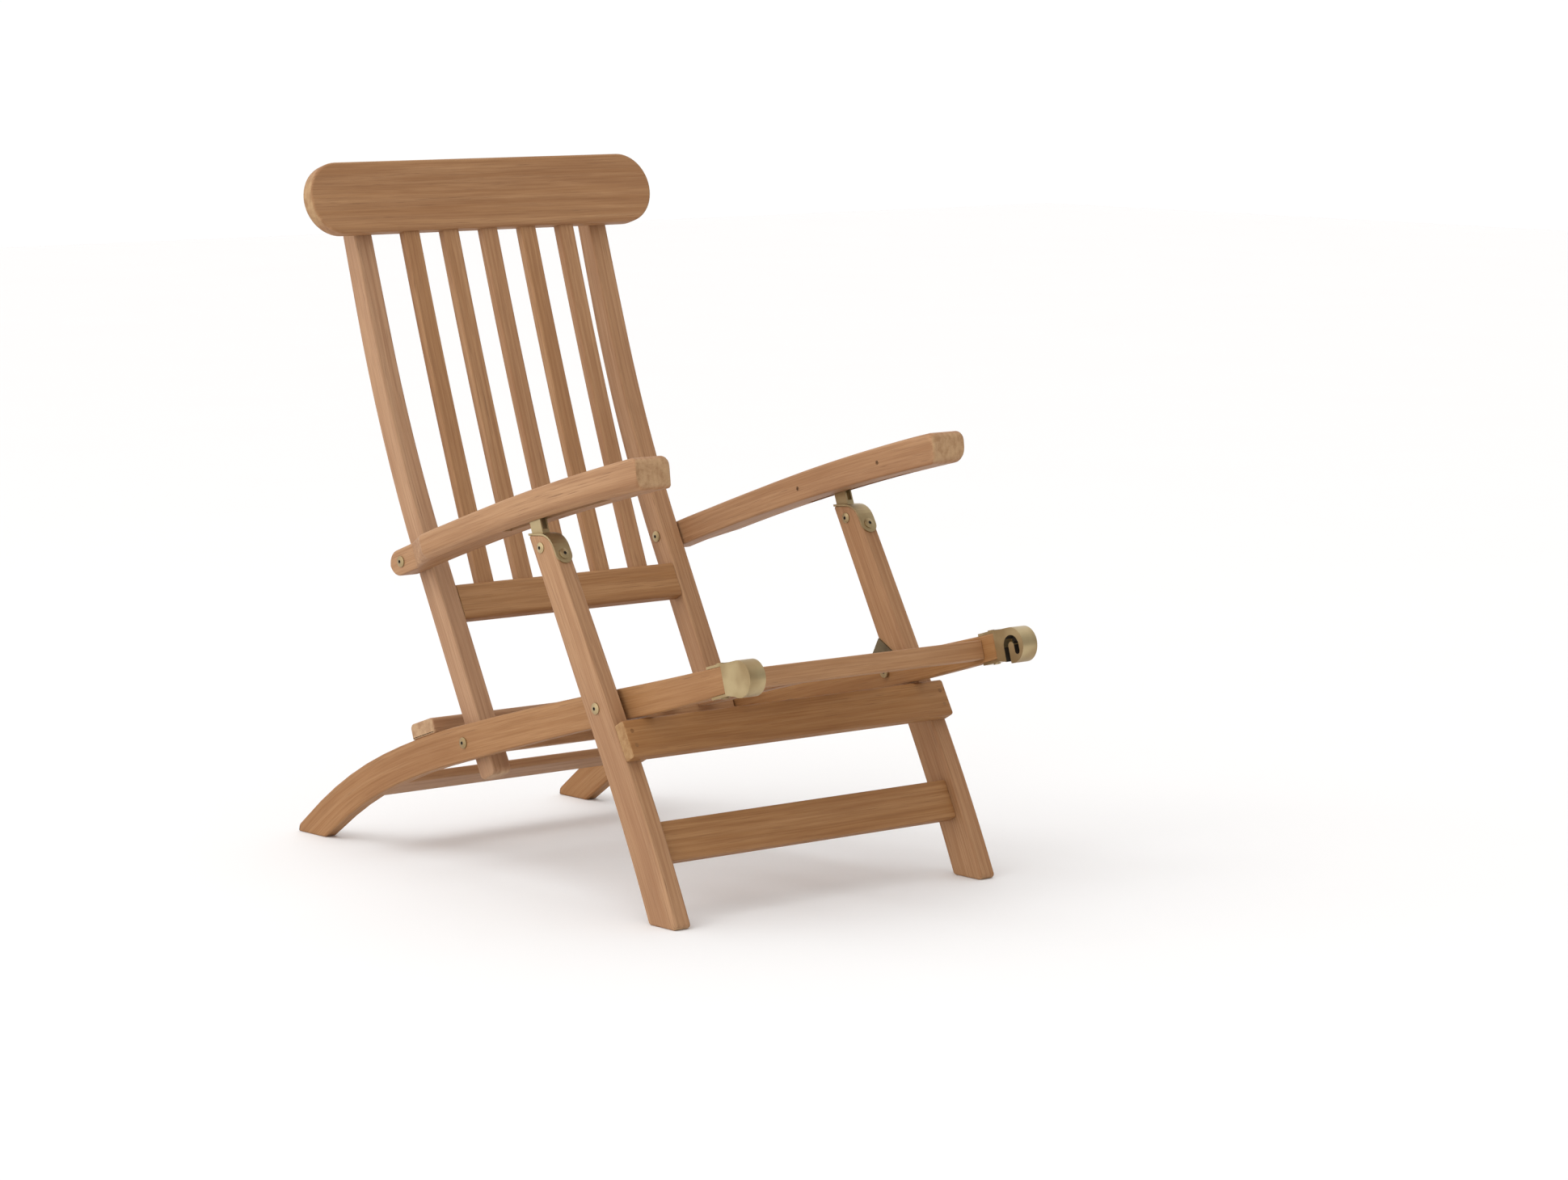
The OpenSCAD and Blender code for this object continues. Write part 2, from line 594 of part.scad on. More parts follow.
// Brass cap and lug on each leg top
cap_rear = leg_point(leg_top_u(-leg_top_d / 2), -leg_top_d / 2);
cap_front = leg_point(leg_top_u(leg_top_d / 2), leg_top_d / 2);
cap_screw_u = 219;
ear_r = leg_t / 2;
module cap_strap() {
    up = cap_t * dir(90 - leg_top_slope);
    fwd = cap_t * dir(180 - leg_lean);
    face = leg_point(cap_screw_u - ear_r, lookup(-cap_screw_u, LEG[3]) / 2);
    top_corner = cap_front + fwd + (cap_t / cos(leg_lean - leg_top_slope) - cap_t * leg_top_cut) * dir(90 - leg_lean);
    inside = 6;
    rear_n = -leg_top_d / 2;
    plank(leg_in, leg_out, rounded([with_r(leg_point(leg_top_u(rear_n) - inside, rear_n + 1), 0),
        with_r(cap_rear + up, 0.6), with_r(top_corner, leg_top_round + cap_t), with_r(face + fwd, 0),
        with_r(face - inside * fwd / cap_t, 0), with_r(leg_point(leg_up - 40, 0), 0)]));
}
module lug_solid() {
    down = leg_point(lug_bolt_u - 2, lug_bolt_n);
    // The lug stands up to its pin and its tang runs down into the leg
    plank(lug_x - lug_w / 2, lug_x + lug_w / 2, rounded([
        with_r(lug_pin + lug_d / 2 * dir(180 - lug_lean) + lug_d / 2 * dir(90 - lug_lean), lug_d / 2 - 0.5),
        with_r(lug_root + lug_d / 2 * dir(180 - lug_lean), 0),
        with_r(down + lug_d / 2.4 * dir(180 - leg_lean) - lug_d / 2 * dir(90 - leg_lean), 5),
        with_r(down - lug_d / 2.4 * dir(180 - leg_lean) - lug_d / 2 * dir(90 - leg_lean), 5),
        with_r(lug_root - lug_d / 2 * dir(180 - lug_lean), 0),
        with_r(lug_pin - lug_d / 2 * dir(180 - lug_lean) + lug_d / 2 * dir(90 - lug_lean), lug_d / 2 - 0.5)]));
}
module leg_cap(side) color(brass) placed() mirrored(side) difference() {
    union() {
        intersection() {
            difference() {
                cap_strap();
                plank(leg_in - 1, leg_out + 1, leg_outline);
            }
            in_leg() translate([lug_x, 0, cap_screw_u]) rotate([90, 0, 0])
                linear_extrude(200, center = true) union() {
                    circle(ear_r);
                    translate([-ear_r, 0]) square([2 * ear_r, 120]);
                }
        }
        lug_solid();
    }
    // The fork slot that the rack drops into
    leaning(lug_root, lug_lean) translate([lug_x - fork_slot / 2, -lug_d, cap_t + 3])
        cube([fork_slot, 2 * lug_d, 2 * lug_h]);
    cross_rod(lug_bolt, bolt_r, leg_in - 1, leg_out + 1);
    cross_rod(lug_pin, pin_r, leg_in - 1, leg_out + 1);
    cap_screw_solid(0);
}
module lug_pins() color(brass) placed() for (side = [-1, 1]) mirrored(side)
    cross_rod(lug_pin, pin_r, lug_x - lug_w / 2, lug_x + lug_w / 2);
module lug_bolts() color(brass) placed() for (side = [-1, 1]) mirrored(side) {
    cross_rod(lug_bolt, bolt_r, leg_in, leg_out);
    dome_head(lug_bolt, leg_out, head_r - 0.5);
    translate([leg_in + leg_in, 0, 0]) mirror([1, 0, 0]) dome_head(lug_bolt, leg_in, head_r - 0.5);
}
cap_screw_r = 2.5;
cap_screw_len = 22;
module cap_screw_solid(head) {
    face = lookup(-cap_screw_u, LEG[3]) / 2 + cap_t;
    in_leg() translate([lug_x, -face, cap_screw_u]) {
        rotate([-90, 0, 0]) cylinder(r = cap_screw_r, h = cap_screw_len);
        if (head > 0) rotate([90, 0, 0]) head_shape(head_r - 0.5, 3);
    }
}
module cap_screws() color(brass) placed() for (side = [-1, 1]) mirrored(side) cap_screw_solid(1);

// Brass plate on the inner face of each front leg, at its pivot
plate_t = 3;
plate_w = 29;
plate_run = 60;
plate_rise = 28;
module leg_pivot_plate(side) color(brass) placed() mirrored(side) difference() {
    translate([leg_in - plate_t, leg_pivot[0], leg_pivot[1]]) rotate([plate_rise, 0, 0])
        along_x(0, plate_t) union() {
            circle(plate_w / 2);
            translate([0, -plate_w / 2]) square([plate_run, plate_w]);
        }
    cross_rod(leg_pivot, bolt_r + run_clear, leg_in - plate_t - 1, leg_in + 1);
}

// Back
module back_stile(side) color(teak_light) placed() mirrored(side) difference() {
    plank(stile_in, stile_out, stile_outline);
    cross_rod(back_pivot, bolt_r + run_clear, stile_in - 1, stile_out + 1);
    cross_rod(arm_pivot, bolt_r + run_clear, stile_in - 1, stile_out + 1);
    back_bottom_rail_solid();
    headrest_screw_set(0);
}
module back_bottom_rail_solid() on_strip(STILE, back_rail_s) {
    translate([-stile_in, 0, stile_d / 2 - back_rail_t]) cube([2 * stile_in, back_rail_h, back_rail_t]);
    translate([-stile_in - tenon, back_rail_h / 6, stile_d / 2 - back_rail_t * 3 / 4])
        cube([2 * (stile_in + tenon), back_rail_h * 2 / 3, back_rail_t / 2]);
}
module back_bottom_rail() color(teak) placed() difference() {
    back_bottom_rail_solid();
    for (i = [-2:2]) back_slat_solid(i);
}
// Slat outline with tenon lengths beyond both of its end points
module back_slat_solid(i) {
    span = norm(slat_high - slat_low);
    stations = steps(-tenon / span, 1 + tenon / span, 10);
    outline = concat([for (q = stations) bow(slat_low, slat_high, slat_sag, q, slat_t / 2)],
        reversed([for (q = stations) bow(slat_low, slat_high, slat_sag, q, -slat_t / 2)]));
    plank(i * slat_pitch - slat_w / 2, i * slat_pitch + slat_w / 2, outline);
}
module back_slat(i) color(teak_light) placed() back_slat_solid(i);
module on_headrest() { leaning(headrest_seat, top_lean) children(); }
module headrest() color(teak) placed() difference() {
    on_headrest() translate([0, 0, headrest_up]) rotate([90, 0, 0]) linear_extrude(headrest_t) {
        square([headrest_w - headrest_h, headrest_h], center = true);
        for (side = [-1, 1]) translate([side * (headrest_w - headrest_h) / 2, 0]) circle(headrest_h / 2);
    }
    for (i = [-2:2]) back_slat_solid(i);
    headrest_screw_set(0);
    for (side = [-1, 1]) mirrored(side) plank(stile_in, stile_out, stile_outline);
}
headrest_screw_r = 2.5;
headrest_screw_into = 12;
headrest_screw_gap = 44;
headrest_screw_seat = lookup(headrest_s, STILE[3]) + 0.5;
module headrest_screw_set(head) on_headrest() for (side = [-1, 1]) for (k = [-1, 1])
    translate([side * (stile_in + stile_t / 2), headrest_screw_seat, k * headrest_screw_gap / 2]) rotate([90, 0, 0]) {
        cylinder(r = headrest_screw_r, h = headrest_screw_seat + headrest_screw_into);
        if (head > 0) mirror([0, 0, 1]) head_shape(head_r - 2, 2.4);
    }
module headrest_screws() color(brass) placed() headrest_screw_set(1);
module back_pivot_bolts() color(brass) placed() for (side = [-1, 1]) mirrored(side) {
    cross_rod(back_pivot, bolt_r, stile_in - part_clear, rail_out + part_clear);
    dome_head(back_pivot, rail_out + part_clear);
    translate([2 * (stile_in - part_clear), 0, 0]) mirror([1, 0, 0]) dome_head(back_pivot, stile_in - part_clear);
}

// Arms
// How far a rounding of radius r has pulled a face in at s, near the nose of an arm
function nose_in(s, r) = let (d = max(0, s - arm_run + r)) r - sqrt(max(0, r * r - d * d));
function arm_half(s) = s >= -tongue_over ? lookup(s, ARM[3]) / 2
    : sqrt(max(1, tongue_d * tongue_d / 4 - pow(s + tongue_over, 2)));
shoulder = [[0, tongue_out], [shoulder_start, tongue_out], [shoulder_end, arm_out], [arm_run, arm_out]];
function shoulder_r(s, r) = lookup(s, [[shoulder_start, soft_edge], [shoulder_end, r]]);
function inner_r(s) = s < shoulder_end ? shoulder_r(s, edge_round)
    : lookup(s, [[arm_run - nose_run, edge_round], [arm_run, nose_corner]]);
// Cross-section of an arm at s along it, with its own radius at each corner
function arm_ring(s) =
    let (half = arm_half(s), top = half - nose_in(s, nose_round), low = -half + nose_in(s, nose_low),
         in = arm_in + nose_in(s, edge_round), out = lookup(s, shoulder) - nose_in(s, soft_edge),
         most = (top - low) / 2 - 0.4, shear = lookup(s, [[arm_run - nose_run, 0], [arm_run, tan(nose_upright)]]))
    [for (c = [[out, top, shoulder_r(s, edge_round), 0], [in, top, inner_r(s), 90],
               [in, low, soft_edge, 180], [out, low, shoulder_r(s, arm_round), 270]])
        let (r = min(c[2], most), x = c[0] + (c[0] == out ? -r : r), v = c[1] + (c[1] == top ? -r : r))
        for (a = [0, 30, 60, 90]) let (w = v + r * sin(c[3] + a), p = off(ARM, s + shear * w, -w))
            [x + r * cos(c[3] + a), p[0], p[1]]];
arm_stations = concat([for (a = [80:-16:16]) -tongue_over - tongue_d / 2 * sin(a)],
    [-tongue_over, shoulder_start / 2, shoulder_start], steps(shoulder_end, arm_run - nose_round, 9),
    [for (a = [20:17.5:90]) arm_run - nose_round * (1 - sin(a))]);
module skin(rings) {
    n = len(rings[0]);
    m = len(rings);
    polyhedron([for (ring = rings) each ring],
        concat([[for (i = [0:n - 1]) i]],
            [for (j = [0:m - 2]) for (i = [0:n - 1]) each
                [[j * n + i, (j + 1) * n + i, j * n + (i + 1) % n],
                 [j * n + (i + 1) % n, (j + 1) * n + i, (j + 1) * n + (i + 1) % n]]],
            [[for (i = [n - 1:-1:0]) (m - 1) * n + i]]));
}
// Local frame on the arm over the lug pin, with Y forward and -Z up
module on_rack() { translate([0, lug_pin[0], lug_pin[1]]) rotate([rack_dir, 0, 0]) children(); }
module groove_solid() on_rack()
    translate([lug_x - groove_w / 2, -groove_rear, -groove_depth]) cube([groove_w, groove_rear + groove_front, 70]);
module rack_pin_set(x0, x1) on_rack() for (y = [rack_pin_rear, rack_pin_front])
    translate([x0, y, -pin_r - rack_clear - notch_depth - 4]) rotate([0, 90, 0]) cylinder(r = rack_pin_r, h = x1 - x0);
module arm(side) color(teak) placed() mirrored(side) difference() {
    skin([for (s = arm_stations) arm_ring(s)]);
    cross_rod(arm_pivot, bolt_r + run_clear, arm_in - 1, arm_out);
    groove_solid();
    rack_pin_set(arm_in - 1, arm_out - 8);
}
module rack(side) color(brass) placed() mirrored(side) difference() {
    on_rack() difference() {
        translate([lug_x - rack_t / 2, -rack_rear, -pin_r - rack_clear - rack_h])
            cube([rack_t, rack_rear + rack_front, rack_h]);
        // Notches that hold the lug pin
        for (k = [0:notches - 1]) translate([lug_x - rack_t, k * rack_travel / (notches - 1), -pin_r - rack_clear]) {
            rotate([0, 90, 0]) translate([notch_depth - pin_r - 0.4, 0, 0]) cylinder(r = pin_r + 0.4, h = 2 * rack_t);
            translate([0, -pin_r - 0.4, -notch_depth + pin_r + 0.4])
                cube([2 * rack_t, 2 * pin_r + 0.8, notch_depth]);
        }
    }
    rack_pin_set(arm_in, arm_out);
}
module rack_pins(side) color(brass) placed() mirrored(side) rack_pin_set(arm_in, arm_out - 8);
module arm_pivot_bolt(side) color(brass) placed() mirrored(side) {
    cross_rod(arm_pivot, bolt_r, stile_in - part_clear, tongue_out + part_clear);
    dome_head(arm_pivot, tongue_out + part_clear);
    translate([2 * (stile_in - part_clear), 0, 0]) mirror([1, 0, 0]) dome_head(arm_pivot, stile_in - part_clear);
}
module arm_pivot_washer(side) color(brass) placed() mirrored(side) difference() {
    cross_rod(arm_pivot, head_r + 3, stile_out + part_clear, arm_in - part_clear);
    cross_rod(arm_pivot, bolt_r + run_clear, stile_out, arm_in);
}

for (side = [["left", 1], ["right", -1]]) {
    side_rail(side[1]);
    footrest_socket(side[1]);
    leg_pivot_plate(side[1]);
    front_leg(side[1]);
    leg_cap(side[1]);
    back_stile(side[1]);
    arm_pivot_bolt(side[1]);
    arm_pivot_washer(side[1]);
    arm(side[1]);
    rack(side[1]);
    rack_pins(side[1]);
}
for (i = [1:5]) {
    seat_slat(i - 3);
    back_slat(i - 3);
}
seat_front_rail();
seat_rear_rail();
back_stop_rail();
rear_stretcher();
socket_screws();
leg_pivot_bolts();
front_apron();
lower_stretcher();
apron_dowels();
lug_pins();
lug_bolts();
cap_screws();
back_pivot_bolts();
back_bottom_rail();
headrest();
headrest_screws();
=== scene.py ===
import bpy
import bmesh
import json
import math
import random
from math import radians, sin, cos, tan, pi
import numpy as np
from mathutils import Vector, Matrix


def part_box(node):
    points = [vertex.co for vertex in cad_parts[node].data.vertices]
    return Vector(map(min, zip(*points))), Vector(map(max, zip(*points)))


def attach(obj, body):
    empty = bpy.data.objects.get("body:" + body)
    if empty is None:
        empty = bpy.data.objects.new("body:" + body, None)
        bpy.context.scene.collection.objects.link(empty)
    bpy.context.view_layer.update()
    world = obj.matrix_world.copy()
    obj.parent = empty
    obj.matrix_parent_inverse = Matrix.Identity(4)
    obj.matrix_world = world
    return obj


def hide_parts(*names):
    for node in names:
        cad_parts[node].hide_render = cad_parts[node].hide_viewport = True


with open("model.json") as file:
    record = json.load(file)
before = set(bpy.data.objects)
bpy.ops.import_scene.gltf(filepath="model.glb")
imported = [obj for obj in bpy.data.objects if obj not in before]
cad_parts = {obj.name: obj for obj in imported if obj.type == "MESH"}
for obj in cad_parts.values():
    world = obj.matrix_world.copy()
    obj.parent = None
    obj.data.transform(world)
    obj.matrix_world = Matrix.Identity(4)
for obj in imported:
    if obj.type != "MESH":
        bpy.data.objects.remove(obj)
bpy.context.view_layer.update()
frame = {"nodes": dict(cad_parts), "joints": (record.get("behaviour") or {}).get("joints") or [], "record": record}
BODY = {node: body for body, members in frame["record"]["behaviour"]["bodies"].items() for node in members}
PIVOT = {joint["name"]: np.array(joint["pos_m"]) * 1000 for joint in frame["joints"]}
LEG_PIVOT = PIVOT["leg_fold"][1:]
SIDES = {"left": 1, "right": -1}
DEG = pi / 180


# Outlines, in millimetres: a point is (y, z), an angle is in degrees from +Y towards +Z
def direction(angle):
    return np.array([cos(angle * DEG), sin(angle * DEG)])


def perp(angle):
    return np.array([-sin(angle * DEG), cos(angle * DEG)])


def bearing(v):
    return math.atan2(v[1], v[0]) / DEG


def chord(s, run, turn):
    """How far the first s millimetres reach along an arc that turns by turn over run."""
    return s if turn == 0 else 360 * run / (pi * turn) * sin(turn * s / run / 2 * DEG)


class Strip:
    """A board that follows a chain of (run, turn) arcs, with its depth given along it."""

    SPACING = 2.5
    OVERRUN = 40

    def __init__(self, start, heading, arcs, depths, low=-80):
        self.start, self.heading, self.arcs = np.array(start, float), heading, arcs
        self.depth_places, self.depths = zip(*depths)
        high = sum(run for run, turn in arcs) + self.OVERRUN
        self.places = np.arange(low, high + 1, self.SPACING)
        self.points = np.array([self.at(s)[0] for s in self.places])
        self.headings = np.array([self.at(s)[1] for s in self.places])

    def at(self, s):
        """Point and heading at distance s along the board."""
        point, heading = self.start, self.heading
        for i, (run, turn) in enumerate(self.arcs):
            if i == len(self.arcs) - 1 or s <= run:
                reach = chord(s, run, turn) * direction(heading + turn * s / run / 2)
                return point + reach, heading + turn * s / run
            point = point + chord(run, run, turn) * direction(heading + turn / 2)
            heading += turn
            s -= run

    def depth(self, s):
        return float(np.interp(s, self.depth_places, self.depths))

    def off(self, s, n):
        """The point n to the left of the middle line at s."""
        point, heading = self.at(s)
        return point + n * perp(heading)

    def edge(self, s, side):
        return self.off(s, side * self.depth(s) / 2)

    def locate(self, points):
        """Distance along, distance across and heading for each point."""
        nearest = ((points[:, None, :] - self.points[None]) ** 2).sum(2).argmin(1)
        heading = self.headings[nearest]
        off = points - self.points[nearest]
        along = (off * np.stack([np.cos(heading * DEG), np.sin(heading * DEG)], 1)).sum(1)
        across = (off * np.stack([-np.sin(heading * DEG), np.cos(heading * DEG)], 1)).sum(1)
        return self.places[nearest] + along, across, heading


def steps(first, last, n):
    return [first + (last - first) * i / n for i in range(n + 1)]


def to_floor(a, b, height=0.0):
    """Where the line from a through b comes down to a height."""
    return a + (b - a) * (a[1] - height) / (a[1] - b[1])


FLAT_CORNER = 89.2


def rounded(corners, seg=6):
    """An outline from (point, radius) pairs; a corner that is all but straight keeps its point."""
    out = []
    for i, (corner, radius) in enumerate(corners):
        before, after = corners[i - 1][0], corners[(i + 1) % len(corners)][0]
        before, corner, after = (np.array(point, float) for point in (before, corner, after))
        if radius == 0:
            out.append(corner)
            continue
        u = (before - corner) / np.linalg.norm(before - corner)
        v = (after - corner) / np.linalg.norm(after - corner)
        half = math.acos(max(-1, min(1, float(u @ v)))) / 2
        if half > FLAT_CORNER * DEG:
            out.append(corner)
            continue
        reach = radius / tan(half)
        centre = corner + radius / sin(half) * (u + v) / np.linalg.norm(u + v)
        start = bearing(corner + reach * u - centre)
        sweep = (bearing(corner + reach * v - centre) - start + 180) % 360 - 180
        out += [centre + radius * direction(start + sweep * k / seg) for k in range(seg + 1)]
    return np.array(out)


def sharp(points):
    return [(point, 0) for point in points]


# Side rail and rear leg, one board: nose, seat, bend and leg
RAIL_FORE = 241
RAIL_SLOPE = 14.3
RAIL_TURN = 1.8
SEAT_RUN = 395
BEND_RUN, BEND_TURN = 173, -6.8
FOOT_RUN, FOOT_TURN = 356, -25.6
RAIL_LEN = RAIL_FORE + SEAT_RUN + BEND_RUN + FOOT_RUN
BACK_PIVOT_S = 605
RAIL_NOSE_D, RAIL_PIVOT_D, RAIL_BACK_D, RAIL_FOOT_D = 37, 45, 51, 49
RAIL_STEPS = 26
HEEL_RISE = 9.9
HEEL_ROUND = 11
TOE_ROUND = 9
FLOOR_EDGE = 1.5
RAIL = Strip(LEG_PIVOT - chord(RAIL_FORE, RAIL_FORE, RAIL_TURN) * direction(-RAIL_SLOPE - RAIL_TURN / 2),
             -RAIL_SLOPE - RAIL_TURN,
             [(RAIL_FORE, RAIL_TURN), (SEAT_RUN, -RAIL_TURN), (BEND_RUN, BEND_TURN), (FOOT_RUN, FOOT_TURN)],
             [(0, RAIL_NOSE_D), (RAIL_FORE, RAIL_PIVOT_D), (BACK_PIVOT_S, RAIL_BACK_D),
              (RAIL_LEN, RAIL_FOOT_D)])
BACK_PIVOT = RAIL.at(BACK_PIVOT_S)[0]


def rail_outline():
    upper = [p for p in (RAIL.edge(s, 1) for s in steps(0, RAIL_LEN, RAIL_STEPS)) if p[1] > 2 * HEEL_RISE]
    lower = [p for p in (RAIL.edge(s, -1) for s in steps(0, RAIL_LEN, RAIL_STEPS)) if p[1] > TOE_ROUND]
    heel = to_floor(upper[-2], upper[-1], HEEL_RISE)
    toe = to_floor(lower[-2], lower[-1])
    foot = [(heel, HEEL_ROUND), ((heel[0], 0.0), FLOOR_EDGE), (toe, TOE_ROUND)]
    return rounded(sharp(upper) + foot + sharp(lower[::-1]))


# Front leg: straight about the pivot, a little steeper towards the foot, with a sloping top
LEG_LEAN = 29.3
LEG_UP = 258
LEG_STRAIGHT = 60
LEG_BEND_RUN, LEG_BEND_TURN = 275, 5.9
LEG_LEN = LEG_STRAIGHT + LEG_BEND_RUN
LEG_TOP_D, LEG_MID_D, LEG_FOOT_D = 42.5, 49, 56
LEG_TOP_SLOPE = 5
LEG_TOP_ROUND = 30
LEG_TOP_EDGE = 3
LEG_FOOT_ROUND = 6
LEG_STEPS = 24
LEG = Strip(LEG_PIVOT, -90 - LEG_LEAN, [(LEG_STRAIGHT, 0), (LEG_BEND_RUN, LEG_BEND_TURN)],
            [(-LEG_UP, LEG_TOP_D), (0, LEG_MID_D), (LEG_LEN, LEG_FOOT_D)], -300)


def leg_point(u, n):
    """A point u up the leg from its pivot and n forward of its middle line."""
    return LEG_PIVOT + u * direction(90 - LEG_LEAN) + n * direction(180 - LEG_LEAN)


def leg_top(n):
    """How far up the sloping top lies, n forward of the middle line."""
    return LEG_UP - n * tan((LEG_LEAN - LEG_TOP_SLOPE) * DEG)


def leg_outline():
    half = LEG_TOP_D / 2
    rear = [p for p in (LEG.edge(s, 1) for s in steps(-LEG_UP + half, LEG_LEN, LEG_STEPS))
            if p[1] > LEG_FOOT_ROUND]
    fore = [p for p in (LEG.edge(s, -1) for s in steps(-LEG_UP + LEG_TOP_D, LEG_LEN, LEG_STEPS))
            if p[1] > LEG_FOOT_ROUND]
    foot = [(to_floor(side[-2], side[-1]), LEG_FOOT_ROUND) for side in (rear, fore)]
    rear_corner = (leg_point(leg_top(-half), -half), LEG_TOP_EDGE)
    fore_corner = (leg_point(leg_top(half), half), LEG_TOP_ROUND)
    return rounded([rear_corner] + sharp(rear) + foot + sharp(fore[::-1]) + [fore_corner], 10)


# Back stile, the headrest on its top and the slats between that and the bottom rail
BACK_LEAN = 27.5
STILE_STRAIGHT = 277
STILE_BEND_RUN, STILE_BEND_TURN = 340, 9.6
STILE_TOP_RUN, STILE_TOP_TURN = 238, 1.5
STILE_BEND_END = STILE_STRAIGHT + STILE_BEND_RUN
STILE_LEN = STILE_BEND_END + STILE_TOP_RUN
STILE_FOOT = 55
STILE_D, STILE_BEND_D, STILE_TOP_D = 35.5, 33, 27
STILE_FOOT_ROUND = 9
STILE_TOP_ROUNDS = (4, 6)
STILE_STEP = 34
ARM_PIVOT_S = 280
STILE = Strip(BACK_PIVOT, 90 - BACK_LEAN,
              [(STILE_STRAIGHT, 0), (STILE_BEND_RUN, STILE_BEND_TURN), (STILE_TOP_RUN, STILE_TOP_TURN)],
              [(-STILE_FOOT, STILE_D), (ARM_PIVOT_S, STILE_D), (STILE_BEND_END, STILE_BEND_D),
               (STILE_LEN, STILE_TOP_D)])
TOP_LEAN = BACK_LEAN - STILE_BEND_TURN - STILE_TOP_TURN


def stile_outline():
    places = [0, STILE_STRAIGHT] + steps(STILE_STRAIGHT + STILE_STEP, STILE_LEN - STILE_STEP, 22)
    fore, rear = ([STILE.edge(s, side) for s in places] for side in (1, -1))
    foot = [(STILE.edge(-STILE_FOOT, side), STILE_FOOT_ROUND) for side in (1, -1)]
    top = [(STILE.edge(STILE_LEN, side), radius) for side, radius in zip((1, -1), STILE_TOP_ROUNDS)]
    return rounded([foot[0]] + sharp(fore) + top + sharp(rear[::-1]) + [foot[1]])


HEAD_W, HEAD_H, HEAD_T = 621.8, 106, 25
HEAD_FRONT_EDGE, HEAD_BACK_EDGE = 4, 7
HEAD_ABOVE = 17
HEAD_ON_STILE = 0.38
HEAD_S = STILE_LEN - HEAD_H * HEAD_ON_STILE
HEAD_SEAT = STILE.off(HEAD_S, STILE.depth(HEAD_S) / 2)
HEAD_UP = HEAD_ABOVE + STILE_LEN - HEAD_S - HEAD_H / 2
BACK_RAIL_S, BACK_RAIL_H, BACK_RAIL_T = 179, 53, 24
SLAT_W, SLAT_T, SLAT_PITCH = 28, 14, 70.8
SLAT_EDGE = 2.2
SLAT_INSET = 5
SLAT_SET_BACK = 5.5
SLAT_SAG = 5

# Arm: a round tongue at its pivot, a shoulder and a broad board with a rounded nose
ARM_RUN = 604
ARM_SLOPE = 19.8
ARM_REAR_RUN, ARM_REAR_TURN = 260, 2.2
ARM_FORE_TURN = 4.2
TONGUE_D, ARM_D = 37, 45
ARM_WAIST, ARM_SWELL = 6.5, 3
ARM_WAIST_S, ARM_SWELL_S = ARM_RUN / 3, ARM_RUN * 0.58
TONGUE_OVER = 9
TONGUE_W = 34
SHOULDER = (34, 92)
ARM_EDGE, ARM_SOFT_EDGE, ARM_ROUND = 6, 3, 15
ARM_LEAST_FLAT = 0.4
NOSE_RUN = 40
NOSE_UPRIGHT = 6.8
NOSE_TOP, NOSE_LOW, NOSE_INNER, NOSE_OUTER, NOSE_CORNER = 12, 8, 6, 1.5, 11
ARM_PIVOT = STILE.at(ARM_PIVOT_S)[0]
ARM = Strip(ARM_PIVOT, 180 - ARM_SLOPE,
            [(ARM_REAR_RUN, ARM_REAR_TURN), (ARM_RUN - ARM_REAR_RUN, ARM_FORE_TURN)],
            [(0, TONGUE_D), (ARM_WAIST_S, ARM_D - ARM_WAIST), (ARM_SWELL_S, ARM_D - ARM_WAIST + ARM_SWELL),
             (ARM_RUN, ARM_D)], -60)


# Mesh builders, in millimetres
def inset(outline, depth):
    """The outline moved inwards by depth, corner by corner."""
    after, before = np.roll(outline, -1, 0), np.roll(outline, 1, 0)
    arriving, leaving = outline - before, after - outline
    arriving /= np.linalg.norm(arriving, axis=1)[:, None] + 1e-12
    leaving /= np.linalg.norm(leaving, axis=1)[:, None] + 1e-12
    inwards = np.stack([-arriving[:, 1], arriving[:, 0]], 1)
    halfway = inwards + np.stack([-leaving[:, 1], leaving[:, 0]], 1)
    halfway /= np.linalg.norm(halfway, axis=1)[:, None] + 1e-12
    scale = 1 / np.maximum(0.5, (halfway * inwards).sum(1))
    return outline + halfway * (depth * scale)[:, None]


def clean(outline, least=0.05):
    """The outline without points that fall together, counterclockwise."""
    keep = [outline[0]]
    for point in outline[1:]:
        if np.linalg.norm(point - keep[-1]) > least:
            keep.append(point)
    if np.linalg.norm(keep[0] - keep[-1]) <= least:
        keep.pop()
    kept = np.array(keep)
    area = 0.5 * float((kept[:, 0] * np.roll(kept[:, 1], -1) - np.roll(kept[:, 0], -1) * kept[:, 1]).sum())
    return kept if area > 0 else kept[::-1]


def skin(rings):
    """A closed mesh over rings of points, capped at both ends."""
    bm = bmesh.new()
    loops = [[bm.verts.new(Vector(point)) for point in ring] for ring in rings]
    n = len(loops[0])
    for a, b in zip(loops, loops[1:]):
        for i in range(n):
            bm.faces.new((a[i], a[(i + 1) % n], b[(i + 1) % n], b[i]))
    bm.faces.new(loops[0][::-1])
    bm.faces.new(loops[-1])
    return bm


def plank(outline, x0, x1, edge=3.0, seg=4, far_edge=None):
    """An outline made solid from x0 to x1, its edges rounded by edge, those at x1 by far_edge."""
    outline = clean(np.array(outline, float))
    far_edge = edge if far_edge is None else far_edge

    def end(x, inwards, radius):
        rings = []
        for k in range(seg + 1):
            angle = k / seg * pi / 2
            ring = inset(outline, radius * (1 - sin(angle)))
            ring_x = x + inwards * radius * (1 - cos(angle))
            rings.append(np.column_stack([np.full(len(ring), ring_x), ring]))
        return rings

    return skin(end(x0, 1, edge) + end(x1, -1, far_edge)[::-1])


